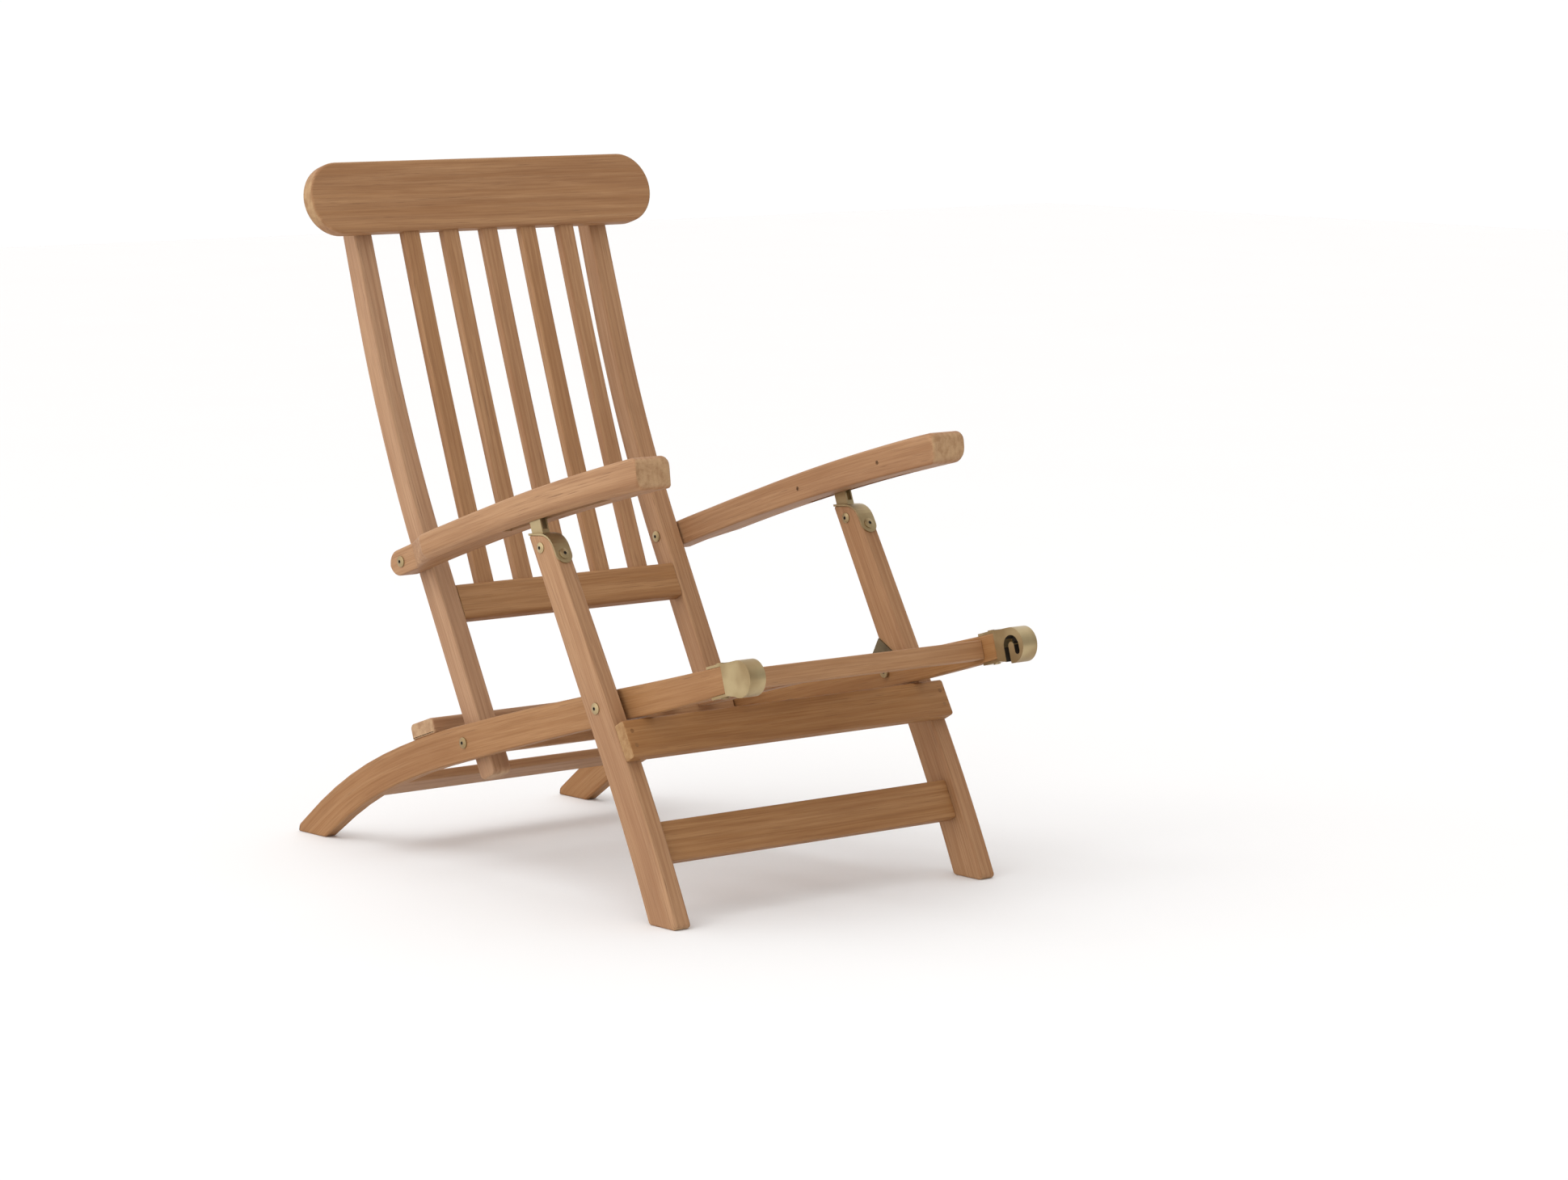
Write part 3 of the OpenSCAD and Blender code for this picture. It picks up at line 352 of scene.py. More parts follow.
def block(size, corner=2.0, seg=3, end=1.5):
    """A board along local X with its long edges rounded by corner and its ends by end."""
    length, thick, high = size
    corners = [((y * thick / 2, z * high / 2), corner) for y, z in ((-1, -1), (1, -1), (1, 1), (-1, 1))]
    return plank(rounded(corners, seg), -length / 2, length / 2, end, 2)


def cut_across(bm, strip, places):
    """Loops across a long board, so that the grain can follow its curve."""
    for s in places:
        point, heading = strip.at(s)
        bmesh.ops.bisect_plane(bm, geom=bm.verts[:] + bm.edges[:] + bm.faces[:], dist=1e-4,
                               plane_co=(0, *point), plane_no=(0, *direction(heading)))


def place(point, angle, shift=(0, 0, 0)):
    """A local frame: at a point, turned about X, then shifted along its own axes."""
    turned = Matrix.Translation((0, *point)) @ Matrix.Rotation(angle * DEG, 4, "X")
    return turned @ Matrix.Translation(shift)


def on_strip(strip, s, shift=(0, 0, 0)):
    """The local frame on a strip, Y along it and Z across it."""
    return place(*strip.at(s), shift)


# A plank is made along X; this lays its outline's Y along X and its thickness along Y
ACROSS = Matrix(((0, 1, 0, 0), (1, 0, 0, 0), (0, 0, 1, 0), (0, 0, 0, 1)))


# Materials
class Tree:
    """Short ways to add shader nodes; each returns what the new node gives out."""

    def __init__(self, owner):
        self.owner, self.nodes, self.links = owner, owner.node_tree.nodes, owner.node_tree.links

    def node(self, kind, **settings):
        made = self.nodes.new(kind)
        for key, value in settings.items():
            setattr(made, key, value)
        return made

    def put(self, socket, value):
        """Link a node's output to the socket, or set the socket to a plain value."""
        if isinstance(value, bpy.types.NodeSocket):
            self.links.new(value, socket)
        else:
            socket.default_value = value

    def math(self, operation, a, b=0.0, c=0.0):
        made = self.node("ShaderNodeMath", operation=operation)
        for socket, value in zip(made.inputs, (a, b, c)):
            self.put(socket, value)
        return made.outputs[0]

    def vmath(self, operation, a, b=(0, 0, 0)):
        made = self.node("ShaderNodeVectorMath", operation=operation)
        for socket, value in zip(made.inputs, (a, b)):
            self.put(socket, value)
        return made.outputs["Value" if operation in ("DOT_PRODUCT", "LENGTH") else "Vector"]

    def split(self, vector):
        made = self.node("ShaderNodeSeparateXYZ")
        self.put(made.inputs[0], vector)
        return made.outputs[0], made.outputs[1], made.outputs[2]

    def join(self, x, y, z):
        made = self.node("ShaderNodeCombineXYZ")
        for socket, value in zip(made.inputs, (x, y, z)):
            self.put(socket, value)
        return made.outputs[0]

    def coordinate(self, kind):
        return self.node("ShaderNodeTexCoord").outputs[kind]

    def attribute(self, name, out="Fac"):
        return self.node("ShaderNodeAttribute", attribute_type="GEOMETRY", attribute_name=name).outputs[out]

    def noise(self, vector, scale=1.0, detail=2.0, rough=0.5, distortion=0.0):
        made = self.node("ShaderNodeTexNoise")
        self.put(made.inputs["Vector"], vector)
        for key, value in (("Scale", scale), ("Detail", detail), ("Roughness", rough),
                           ("Distortion", distortion)):
            made.inputs[key].default_value = value
        return made.outputs["Fac"]

    def ramp(self, value, low, high, a=0.0, b=1.0, smooth=True):
        """From a at low to b at high."""
        made = self.node("ShaderNodeMapRange", interpolation_type="SMOOTHSTEP" if smooth else "LINEAR")
        self.put(made.inputs["Value"], value)
        for key, bound in (("From Min", low), ("From Max", high), ("To Min", a), ("To Max", b)):
            made.inputs[key].default_value = bound
        return made.outputs["Result"]

    def mix(self, amount, a, b):
        """Colour a, or b where the amount is 1."""
        made = self.node("ShaderNodeMix", data_type="RGBA", blend_type="MIX")
        for i, value in ((0, amount), (6, a), (7, b)):
            self.put(made.inputs[i], value)
        return made.outputs[2]

    def bump(self, height, strength, distance):
        made = self.node("ShaderNodeBump")
        made.inputs["Strength"].default_value = strength
        made.inputs["Distance"].default_value = distance
        self.put(made.inputs["Height"], height)
        return made.outputs[0]


def rgb(*levels):
    """A colour given as it looks on screen, 0 to 255."""
    shares = [level / 255 for level in levels]
    linear = [share / 12.92 if share <= 0.04045 else ((share + 0.055) / 1.055) ** 2.4 for share in shares]
    return (*linear, 1.0)


def new_material(name):
    mat = bpy.data.materials.new(name)
    mat.use_nodes = True
    return Tree(mat), mat.node_tree.nodes["Principled BSDF"]


RING_WIDTH = 0.0085
RING_WANDER = 0.020


def teak(name="teak_grain", low=0.82, high=1.12):
    """Teak along each board's own grain; its tone runs from low to high in value."""
    t, bsdf = new_material(name)
    grain = t.attribute("grain", "Vector")
    tone = t.attribute("tone")
    fibre = t.attribute("fibre", "Vector")
    cut_end = t.ramp(t.math("ABSOLUTE", t.vmath("DOT_PRODUCT", t.coordinate("Normal"), fibre)), 0.56, 0.94)

    def figure(along, across, detail=2.0, rough=0.5, distortion=0.0):
        """Noise with so many features to the metre along and across the grain."""
        return t.noise(t.vmath("MULTIPLY", grain, (along, across, across)), 1.0, detail, rough, distortion)

    # growth rings that wander around a pith beside the board
    wander = figure(1.6, 9.0)
    y, z = t.split(grain)[1:]
    radius = t.math("SQRT", t.math("ADD", t.math("MULTIPLY", y, y), t.math("MULTIPLY", z, z)))
    turned = t.math("ADD", radius, t.math("MULTIPLY", wander, RING_WANDER))
    wave = t.math("SINE", t.math("MULTIPLY", turned, 2 * pi / RING_WIDTH))
    rings = t.math("POWER", t.math("ADD", t.math("MULTIPLY", wave, 0.5), 0.5), 2.2)
    # long soft bands, thin fibres and short open pores
    bands = figure(2.6, 90.0, 4.0, 0.65, 0.4)
    fibres = figure(9.0, 420.0, 4.0, 0.65)
    pores = figure(22.0, 900.0, 1.0)
    pore = t.math("MULTIPLY", t.ramp(pores, 0.62, 0.74), t.ramp(bands, 0.35, 0.65))
    flow = figure(5.0, 22.0)
    face = t.mix(t.ramp(bands, 0.25, 0.75), rgb(161, 118, 81), rgb(181, 140, 102))
    face = t.mix(t.math("MULTIPLY", rings, 0.24), face, rgb(128, 85, 55))
    face = t.mix(t.ramp(flow, 0.45, 0.75, 0.0, 0.26), face, rgb(146, 101, 67))
    face = t.mix(t.ramp(fibres, 0.40, 0.66, 0.0, 0.32), face, rgb(126, 86, 58))
    face = t.mix(t.math("MULTIPLY", pore, 0.50), face, rgb(94, 62, 41))
    # cut ends are paler and greyer, speckled, with faint rings
    speck = figure(160.0, 700.0, 3.0, 0.6)
    blot = figure(40.0, 70.0, 3.0, 0.6)
    cut = t.mix(t.ramp(blot, 0.38, 0.70), rgb(186, 152, 113), rgb(156, 119, 83))
    cut = t.mix(t.ramp(speck, 0.45, 0.72, 0.0, 0.22), cut, rgb(130, 96, 64))
    cut = t.mix(t.math("MULTIPLY", rings, 0.12), cut, rgb(134, 98, 66))
    # each board has its own tone
    shade = t.node("ShaderNodeHueSaturation")
    shade.inputs["Hue"].default_value = 0.5
    t.put(shade.inputs["Saturation"], t.ramp(tone, 0.0, 1.0, 1.12, 0.86, False))
    t.put(shade.inputs["Value"], t.ramp(tone, 0.0, 1.0, low, high, False))
    t.put(shade.inputs["Color"], t.mix(t.math("MULTIPLY", cut_end, 0.8), face, cut))
    t.put(bsdf.inputs["Base Color"], shade.outputs[0])
    t.put(bsdf.inputs["Roughness"], t.ramp(fibres, 0.3, 0.7, 0.52, 0.68))
    bsdf.inputs["Specular IOR Level"].default_value = 0.32
    height = t.math("SUBTRACT", t.math("MULTIPLY", fibres, 0.6), t.math("MULTIPLY", pore, 0.8))
    t.put(bsdf.inputs["Normal"], t.bump(height, 0.22, 0.0006))
    return t.owner


# How far the painted shade of a hex hole fades in and out, in millimetres
HOLE_BLEND = (0.25, 0.1)


def near_axis(t, where, point, axis, radius):
    """1 within radius millimetres of an axis, on both sides of the chair."""
    x, y, z = t.split(where)
    off = t.vmath("SUBTRACT", t.join(t.math("ABSOLUTE", x), y, z), tuple(v / 1000 for v in point))
    gap = t.vmath("LENGTH", t.vmath("CROSS_PRODUCT", off, axis))
    inside, outside = HOLE_BLEND
    return t.ramp(gap, (radius - inside) / 1000, (radius + outside) / 1000, 1.0, 0.0)


# Margins of the painted shade in the hook slots, in metres
SLOT_WALL = 0.0036
SLOT_INNER, SLOT_OUTER = 0.0006, 0.001


def in_slot(t, where, boxes, low, high):
    """1 on the walls and the floor of a slot given by boxes, for |x| from low to high."""
    x, y, z = t.split(where)
    x = t.math("ABSOLUTE", x)
    shadow = 0.0
    for first, last in boxes:
        inside = 1.0
        for v, v0, v1 in ((y, first[1] - SLOT_WALL, last[1] + SLOT_WALL),
                          (z, first[2] - SLOT_WALL, last[2] + SLOT_WALL), (x, low, high)):
            between = t.math("MULTIPLY", t.math("GREATER_THAN", v, v0), t.math("LESS_THAN", v, v1))
            inside = t.math("MULTIPLY", inside, between)
        shadow = t.math("MAXIMUM", shadow, inside)
    return shadow


def brass(name, light, dark, dull=0.0, shadow=None):
    """Brushed and clouded brass; where the shadow mask is 1 it has painted shade, dark and not metallic."""
    t, bsdf = new_material(name)
    where = t.coordinate("Object")
    cloud = t.noise(where, 22.0)
    brushed = t.noise(t.vmath("MULTIPLY", where, (900.0, 160.0, 160.0)))
    spots = t.noise(where, 420.0)
    colour = t.mix(t.ramp(cloud, 0.35, 0.68), light, dark)
    colour = t.mix(t.ramp(spots, 0.60, 0.78, 0.0, 0.14), colour, rgb(110, 92, 64))
    metal = 0.85 - dull
    if shadow is not None:
        # painted shade: a dark brown with no metal where the mask is 1, inside holes and slots
        hole = shadow(t, where)
        colour = t.mix(hole, colour, rgb(46, 38, 30))
        metal = t.math("MULTIPLY", t.math("SUBTRACT", 1.0, hole), metal)
    t.put(bsdf.inputs["Base Color"], colour)
    t.put(bsdf.inputs["Metallic"], metal)
    t.put(bsdf.inputs["Roughness"], t.ramp(cloud, 0.3, 0.7, 0.34 + dull, 0.50 + dull))
    t.put(bsdf.inputs["Normal"], t.bump(brushed, 0.10, 0.0004))
    return t.owner


BRASS_LIGHT, BRASS_SHADE = rgb(180, 160, 121), rgb(154, 131, 94)
TEAK = teak()
DOWEL = teak("teak_dowel", 0.62, 0.70)
BRASS = brass("brass_satin", BRASS_LIGHT, BRASS_SHADE)
BRASS_DARK = brass("brass_aged", rgb(120, 108, 84), rgb(92, 80, 60), 0.1)


# Pieces
def as_object(name, bm):
    """An object of the scene made from a bmesh, which is used up."""
    mesh = bpy.data.meshes.new(name)
    bm.to_mesh(mesh)
    bm.free()
    ob = bpy.data.objects.new(name, mesh)
    bpy.context.scene.collection.objects.link(ob)
    return ob


def settle(ob, sharp_angle):
    """Sharp edges by angle, and normals weighted towards the large faces."""
    ob.data.shade_smooth()
    ob.data.set_sharp_from_angle(angle=radians(sharp_angle))
    mod = ob.modifiers.new("normals", "WEIGHTED_NORMAL")
    mod.keep_sharp = True
    mod.weight = 80
    depsgraph = bpy.context.evaluated_depsgraph_get()
    mesh = bpy.data.meshes.new_from_object(ob.evaluated_get(depsgraph), preserve_all_data_layers=True,
                                           depsgraph=depsgraph)
    ob.modifiers.clear()
    ob.data = mesh


def add_grain(ob, strip, axis, tone):
    """Where each vertex lies in its board: along the grain, and across it from the pith."""
    draw = random.Random(ob.name)
    mesh = ob.data
    points = np.zeros(len(mesh.vertices) * 3, np.float32)
    mesh.vertices.foreach_get("co", points)
    points = points.reshape(-1, 3).astype(float)
    if strip is not None:
        s, n, heading = strip.locate(points[:, 1:] * 1000)
        along, up, side = s / 1000, n / 1000, points[:, 0]
        fibre = np.stack([np.zeros(len(points)), np.cos(heading * DEG), np.sin(heading * DEG)], 1)
    else:
        a = np.array(axis, float)
        a /= np.linalg.norm(a)
        b = np.cross(a, (0, 0, 1) if abs(a[2]) < 0.8 else (0, 1, 0))
        b /= np.linalg.norm(b)
        middle = (points.min(0) + points.max(0)) / 2
        along, up, side = points @ a, (points - middle) @ np.cross(a, b), (points - middle) @ b
        fibre = np.tile(a, (len(points), 1))
    turn = draw.uniform(-0.5, 0.5)
    pith = draw.uniform(0.05, 0.14)
    upwards = up * cos(turn) - side * sin(turn)
    sideways = up * sin(turn) + side * cos(turn)
    grain = np.stack([along + draw.uniform(-3, 3), upwards + draw.uniform(-0.01, 0.01), sideways + pith], 1)
    for label, kind, key, data in (("grain", "FLOAT_VECTOR", "vector", grain),
                                   ("fibre", "FLOAT_VECTOR", "vector", fibre),
                                   ("tone", "FLOAT", "value", np.full(len(points), tone))):
        mesh.attributes.new(label, kind, "POINT").data.foreach_set(key, data.astype(np.float32).ravel())


def board(name, bm, node, tone, strip=None, axis=(1, 0, 0), frame_to=None, sharp_angle=34, material=None):
    """One wooden piece: millimetres to metres, a material, a grain and its CAD node's place and body."""
    if frame_to is not None:
        bm.transform(frame_to)
    bm.transform(Matrix.Scale(0.001, 4))
    bmesh.ops.remove_doubles(bm, verts=bm.verts, dist=1e-6)
    bmesh.ops.recalc_face_normals(bm, faces=bm.faces)
    ob = as_object(name, bm)
    ob.data.materials.append(material or TEAK)
    settle(ob, sharp_angle)
    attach(ob, BODY[node])
    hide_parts(node)
    add_grain(ob, strip, axis, tone)


def x_range(node):
    """From where to where a CAD node reaches in X, in millimetres."""
    low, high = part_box(node)
    return low.x * 1000, high.x * 1000


# Rails, legs and stiles
# Tones differ from board to board; side_rail_left, the far side rail and rear leg, is set darkest as painted shade
# for its shaded inner face
TONES = {"side_rail_left": 0.0, "side_rail_right": 0.12, "front_leg_left": 0.40, "front_leg_right": 0.50,
         "back_stile_left": 0.46, "back_stile_right": 0.70, "arm_left": 0.44, "arm_right": 0.44}
SIDE_BOARDS = (("rail_", "side_rail_", rail_outline(), RAIL, steps(40, RAIL_LEN - 40, 24)),
               ("leg_", "front_leg_", leg_outline(), LEG, steps(-200, LEG_LEN - 30, 10)),
               ("stile_", "back_stile_", stile_outline(), STILE, steps(-30, STILE_LEN - 30, 18)))

for side in SIDES:
    for label, node, outline, strip, places in SIDE_BOARDS:
        bm = plank(outline, *x_range(node + side))
        cut_across(bm, strip, places)
        board(label + side, bm, node + side, TONES[node + side], strip)


# Arms
def nose_in(s, radius):
    """How far a rounding of the nose has drawn a surface in at s."""
    past = max(0.0, s - ARM_RUN + radius)
    return radius - math.sqrt(max(0.0, radius * radius - past * past))


def arm_half(s):
    """Half the arm's depth, a half circle where the tongue ends behind the pivot."""
    if s >= -TONGUE_OVER:
        return ARM.depth(s) / 2
    return math.sqrt(max(1.0, TONGUE_D ** 2 / 4 - (s + TONGUE_OVER) ** 2))


def arm_ring(s, x_in, x_out, seg=5):
    """The arm's section at s: four corners, each with its own radius."""
    nose = [ARM_RUN - NOSE_RUN, ARM_RUN]

    def over_shoulder(radius):
        return float(np.interp(s, SHOULDER, [ARM_SOFT_EDGE, radius]))

    half = arm_half(s)
    top, low = half - nose_in(s, NOSE_TOP), -half + nose_in(s, NOSE_LOW)
    inner = x_in + nose_in(s, NOSE_INNER)
    outer = float(np.interp(s, SHOULDER, [x_in + TONGUE_W, x_out])) - nose_in(s, NOSE_OUTER)
    most = (top - low) / 2 - ARM_LEAST_FLAT
    shear = float(np.interp(s, nose, [0, tan(NOSE_UPRIGHT * DEG)]))
    edge = over_shoulder(ARM_EDGE)
    inner_edge = edge if s < SHOULDER[1] else float(np.interp(s, nose, [ARM_EDGE, NOSE_CORNER]))
    ring = []
    for i, (x, v, radius) in enumerate(((outer, top, edge), (inner, top, inner_edge),
                                        (inner, low, ARM_SOFT_EDGE), (outer, low, over_shoulder(ARM_ROUND)))):
        radius = min(radius, most)
        centre_x = x - radius if x == outer else x + radius
        centre_v = v - radius if v == top else v + radius
        for angle in steps(90 * i, 90 * i + 90, seg):
            up = centre_v + radius * sin(angle * DEG)
            ring.append((centre_x + radius * cos(angle * DEG), *ARM.off(s + shear * up, -up)))
    return ring


# Half the distance of two sections that keep an edge crisp between them
CREASE = 0.4


def arm_places():
    """Where the arm has sections: close at the tongue's end, at the shoulder's edges and at the nose."""
    tongue = [-TONGUE_OVER - TONGUE_D / 2 * sin(angle * DEG) for angle in (86, 78, 68, 56, 42, 28, 14)]
    start, end = SHOULDER
    shoulder = [-TONGUE_OVER, 12, start - CREASE, start + CREASE] + steps(48, 78, 2) + [end - 1, end + 1]
    body = steps(110, ARM_RUN - 44, 14) + [ARM_RUN - 28, ARM_RUN - 18]
    nose = [ARM_RUN - NOSE_TOP * (1 - sin(angle * DEG)) for angle in steps(0, 90, 6)]
    return tongue + shoulder + body + nose


LUG_X = 276.5
LUG_N = -10
LUG_H = 26
LUG_LEAN = 20
LUG_PIN = leg_point(leg_top(LUG_N), LUG_N) + LUG_H * direction(90 - LUG_LEAN)
RACK_ANGLE = 163.47
GROOVE_W, GROOVE_DEPTH = 14.5, 20
GROOVE_REAR, GROOVE_FRONT = 74, 160
CUTTER_H = 70


def groove_cutter(sign):
    """A box around the rack that reaches out below the arm."""
    cutter = bmesh.new()
    bmesh.ops.create_cube(cutter, size=1.0)
    middle = (LUG_X * sign, (GROOVE_FRONT - GROOVE_REAR) / 2, -GROOVE_DEPTH + CUTTER_H / 2)
    size = Matrix.Diagonal((GROOVE_W, GROOVE_FRONT + GROOVE_REAR, CUTTER_H, 1))
    cutter.transform(place(LUG_PIN, RACK_ANGLE, middle) @ size)
    return cutter


def carve(bm, cutter):
    """The first mesh without the second; both are used up."""
    body, tool = as_object("arm_body", bm), as_object("groove_cut", cutter)
    mod = body.modifiers.new("groove", "BOOLEAN")
    mod.operation, mod.solver, mod.object = "DIFFERENCE", "EXACT", tool
    depsgraph = bpy.context.evaluated_depsgraph_get()
    carved = bmesh.new()
    carved.from_mesh(bpy.data.meshes.new_from_object(body.evaluated_get(depsgraph), depsgraph=depsgraph))
    bpy.data.objects.remove(body)
    bpy.data.objects.remove(tool)
    return carved


for side, sign in SIDES.items():
    x_in, x_out = sorted(abs(x) for x in x_range("arm_" + side))
    bm = skin([[(sign * x, y, z) for x, y, z in arm_ring(s, x_in, x_out)] for s in arm_places()])
    bmesh.ops.remove_doubles(bm, verts=bm.verts, dist=1e-3)
    bmesh.ops.recalc_face_normals(bm, faces=bm.faces)
    bm = carve(bm, groove_cutter(sign))
    board("armrest_" + side, bm, "arm_" + side, TONES["arm_" + side], ARM, sharp_angle=24)

# Slats
BACK_SLAT_TONES = (0.28, 0.34, 0.40, 0.30, 0.38)
SEAT_SLAT_TONES = (0.46, 0.55, 0.40, 0.52, 0.44)
FRONT_RAIL_BACK, FRONT_RAIL_T, FRONT_RAIL_H = 28, 24, 27
REAR_RAIL_GAP, REAR_RAIL_T = 38, 22
REAR_RAIL_S = BACK_PIVOT_S - REAR_RAIL_GAP - REAR_RAIL_T / 2
REAR_RAIL_RISE, REAR_RAIL_DROP = 2, 4
SEAT_SLAT_INSET = 3
# The share of their run after which the seat slats have settled
SLAT_SETTLE = 0.4
TENON = 10
SLAT_INTO_RAIL = 1


def slats(label, node, one_face, other_face, tones, strip=None, axis=None):
    """Slats of one outline side by side, each with its own tone."""
    outline = np.array(one_face + other_face[::-1])
    for i, tone in enumerate(tones):
        middle = (i - len(tones) // 2) * SLAT_PITCH
        bm = plank(outline, middle - SLAT_W / 2, middle + SLAT_W / 2, SLAT_EDGE, 3)
        number = "_%d" % (i + 1)
        board(label + number, bm, node + number, tone, strip, axis)


def back_slats():
    """A shallow bow to the rear, from inside the bottom rail to inside the headrest."""
    first = STILE.off(BACK_RAIL_S + BACK_RAIL_H, STILE_D / 2 - SLAT_INSET - SLAT_T / 2)
    last = (HEAD_SEAT + (HEAD_UP - HEAD_H / 2) * direction(90 - TOP_LEAN)
            + (HEAD_T - SLAT_SET_BACK - SLAT_T / 2) * direction(180 - TOP_LEAN))
    span = last - first
    rear = direction(bearing(span) - 90)
    bow = [first + q * span + SLAT_SAG * 4 * q * (1 - q) * rear for q in steps(-0.01, 1.012, 14)]
    slats("backslat", "back_slat", [p + SLAT_T / 2 * rear for p in bow], [p - SLAT_T / 2 * rear for p in bow],
          BACK_SLAT_TONES, axis=Vector((0, *span)).normalized())


def seat_slats():
    """They leave the front rail low and settle to the rear rail's height."""
    fore, rear = FRONT_RAIL_BACK + FRONT_RAIL_T, REAR_RAIL_S - REAR_RAIL_T / 2
    fore_end, rear_end = fore - TENON, rear + TENON
    fore_n = FRONT_RAIL_H / 2 - SEAT_SLAT_INSET - SLAT_T / 2
    rear_n = RAIL.depth(rear_end) / 2 - REAR_RAIL_DROP - SEAT_SLAT_INSET - SLAT_T / 2

    def middle(s):
        return fore_n + (rear_n - fore_n) * min(1, (s - fore_end) / (rear_end - fore_end) / SLAT_SETTLE)

    places = steps(fore - SLAT_INTO_RAIL, rear + SLAT_INTO_RAIL, 16)
    slats("seatslat", "seat_slat", [RAIL.off(s, middle(s) + SLAT_T / 2) for s in places],
          [RAIL.off(s, middle(s) - SLAT_T / 2) for s in places], SEAT_SLAT_TONES, RAIL)


back_slats()
seat_slats()

# Cross boards
RAIL_IN = x_range("seat_rear_rail")[1] - TENON
RAIL_OUT = x_range("side_rail_left")[1]
LEG_IN, LEG_OUT = x_range("front_leg_left")
STILE_IN = x_range("back_stile_left")[0]
STILE_FOLD_ANGLE = 16
FOLD_GAP = 4
EDGE, TOP_EDGE = 2, 2.5
STOP_GAP, STOP_W, STOP_T = 64, 57, 23
STOP_SINK = 0.4
STOP_ROUND = 7
REAR_STRETCHER_S, REAR_STRETCHER_H, REAR_STRETCHER_T, REAR_STRETCHER_N = 850, 61, 14, 12.5
APRON_H, APRON_T = 54, 21
PART_CLEAR = 0.3
APRON_N = LEG_MID_D / 2 + PART_CLEAR
APRON_TILT = (LEG_LEAN - RAIL_SLOPE) * DEG
APRON_TOP = -(RAIL_PIVOT_D / 2 + PART_CLEAR + (APRON_N + APRON_T) * sin(APRON_TILT)) / cos(APRON_TILT)
APRON_MIDDLE = APRON_TOP - APRON_H / 2
STRETCHER_DROP, STRETCHER_H, STRETCHER_T = 173, 57, 20
STRETCHER_RECESS = 13


def seat_front_rail():
    board("front_rail", block((2 * RAIL_IN, FRONT_RAIL_T, FRONT_RAIL_H), 2.5), "seat_front_rail", 0.35,
          frame_to=on_strip(RAIL, FRONT_RAIL_BACK + FRONT_RAIL_T / 2))


def seat_rear_rail():
    """Cut down at both ends, where the stiles fold over it."""
    low = -RAIL.depth(REAR_RAIL_S) / 2 + REAR_RAIL_RISE
    top = RAIL.depth(REAR_RAIL_S) / 2 - REAR_RAIL_DROP
    step = REAR_RAIL_GAP * tan(STILE_FOLD_ANGLE * DEG) - STILE_D / 2 - FOLD_GAP / 2
    middle = STILE_IN - FOLD_GAP
    right = [((RAIL_IN, low), EDGE), ((RAIL_IN, step), EDGE), ((middle, step), EDGE),
             ((middle, top), TOP_EDGE)]
    left = [((-x, z), radius) for (x, z), radius in right[::-1]]
    outline = rounded(left[-1:] + right + left[:-1], 3)
    board("rear_rail", plank(outline, -REAR_RAIL_T / 2, REAR_RAIL_T / 2, EDGE, 3), "seat_rear_rail", 0.35,
          frame_to=on_strip(RAIL, REAR_RAIL_S) @ ACROSS)


def back_stop_rail():
    half = STOP_W / 2
    s = BACK_PIVOT_S + STOP_GAP + half
    outline = rounded([((-half, 0), EDGE), ((half, 0), EDGE), ((half, STOP_T), STOP_ROUND),
                       ((-half, STOP_T), STOP_ROUND)], 6)
    board("stop_rail", plank(outline, -RAIL_OUT, RAIL_OUT, 3, 3), "back_stop_rail", 0.60,
          frame_to=on_strip(RAIL, s, (0, 0, RAIL.depth(s) / 2 - STOP_SINK)))


def rear_stretcher():
    board("rear_stretch", block((2 * RAIL_IN, REAR_STRETCHER_H, REAR_STRETCHER_T), 3), "rear_stretcher", 0.42,
          frame_to=on_strip(RAIL, REAR_STRETCHER_S, (0, 0, -REAR_STRETCHER_N)))


def front_apron():
    board("apron", block((2 * LEG_OUT, APRON_T, APRON_H), 4, 4, 3), "front_apron", 0.02,
          frame_to=place(LEG_PIVOT, -LEG_LEAN, (0, -APRON_N - APRON_T / 2, APRON_MIDDLE)))


def lower_stretcher():
    s = STRETCHER_DROP + STRETCHER_H / 2
    front = -LEG.depth(s) / 2 + STRETCHER_RECESS
    board("stretcher", block((2 * LEG_IN, STRETCHER_H, STRETCHER_T), 3.5), "lower_stretcher", 0.06,
          frame_to=on_strip(LEG, s, (0, 0, front + STRETCHER_T / 2)))


def back_bottom_rail():
    board("bottom_rail", block((2 * STILE_IN, BACK_RAIL_H, BACK_RAIL_T), 6, 4), "back_bottom_rail", 0.12,
          frame_to=on_strip(STILE, BACK_RAIL_S + BACK_RAIL_H / 2, (0, 0, STILE_D / 2 - BACK_RAIL_T / 2)))


def headrest():
    """A long board with half-round ends, its back edges rounder than its front ones."""
    half = (HEAD_W - HEAD_H) / 2
    outline = [np.array([sign * half, 0]) + HEAD_H / 2 * direction(angle)
               for sign in (1, -1) for angle in steps(-90 * sign, 180 - 90 * sign, 28)]
    board("head_board", plank(outline, -HEAD_T, 0, HEAD_FRONT_EDGE, 5, HEAD_BACK_EDGE), "headrest", 0.30,
          frame_to=place(HEAD_SEAT, -TOP_LEAN, (0, 0, HEAD_UP)) @ ACROSS)


# Radius and depth along an apron dowel, from the rim of its domed end
DOWEL_PROFILE = ((2.4, 0.03), (3.0, 0.12), (3.2, 0.4), (3.2, 45))
DOWEL_INSET = 11
DOWEL_SPREAD = 5.2
DOWEL_PROUD = 0.25
DOWEL_SEG = 24


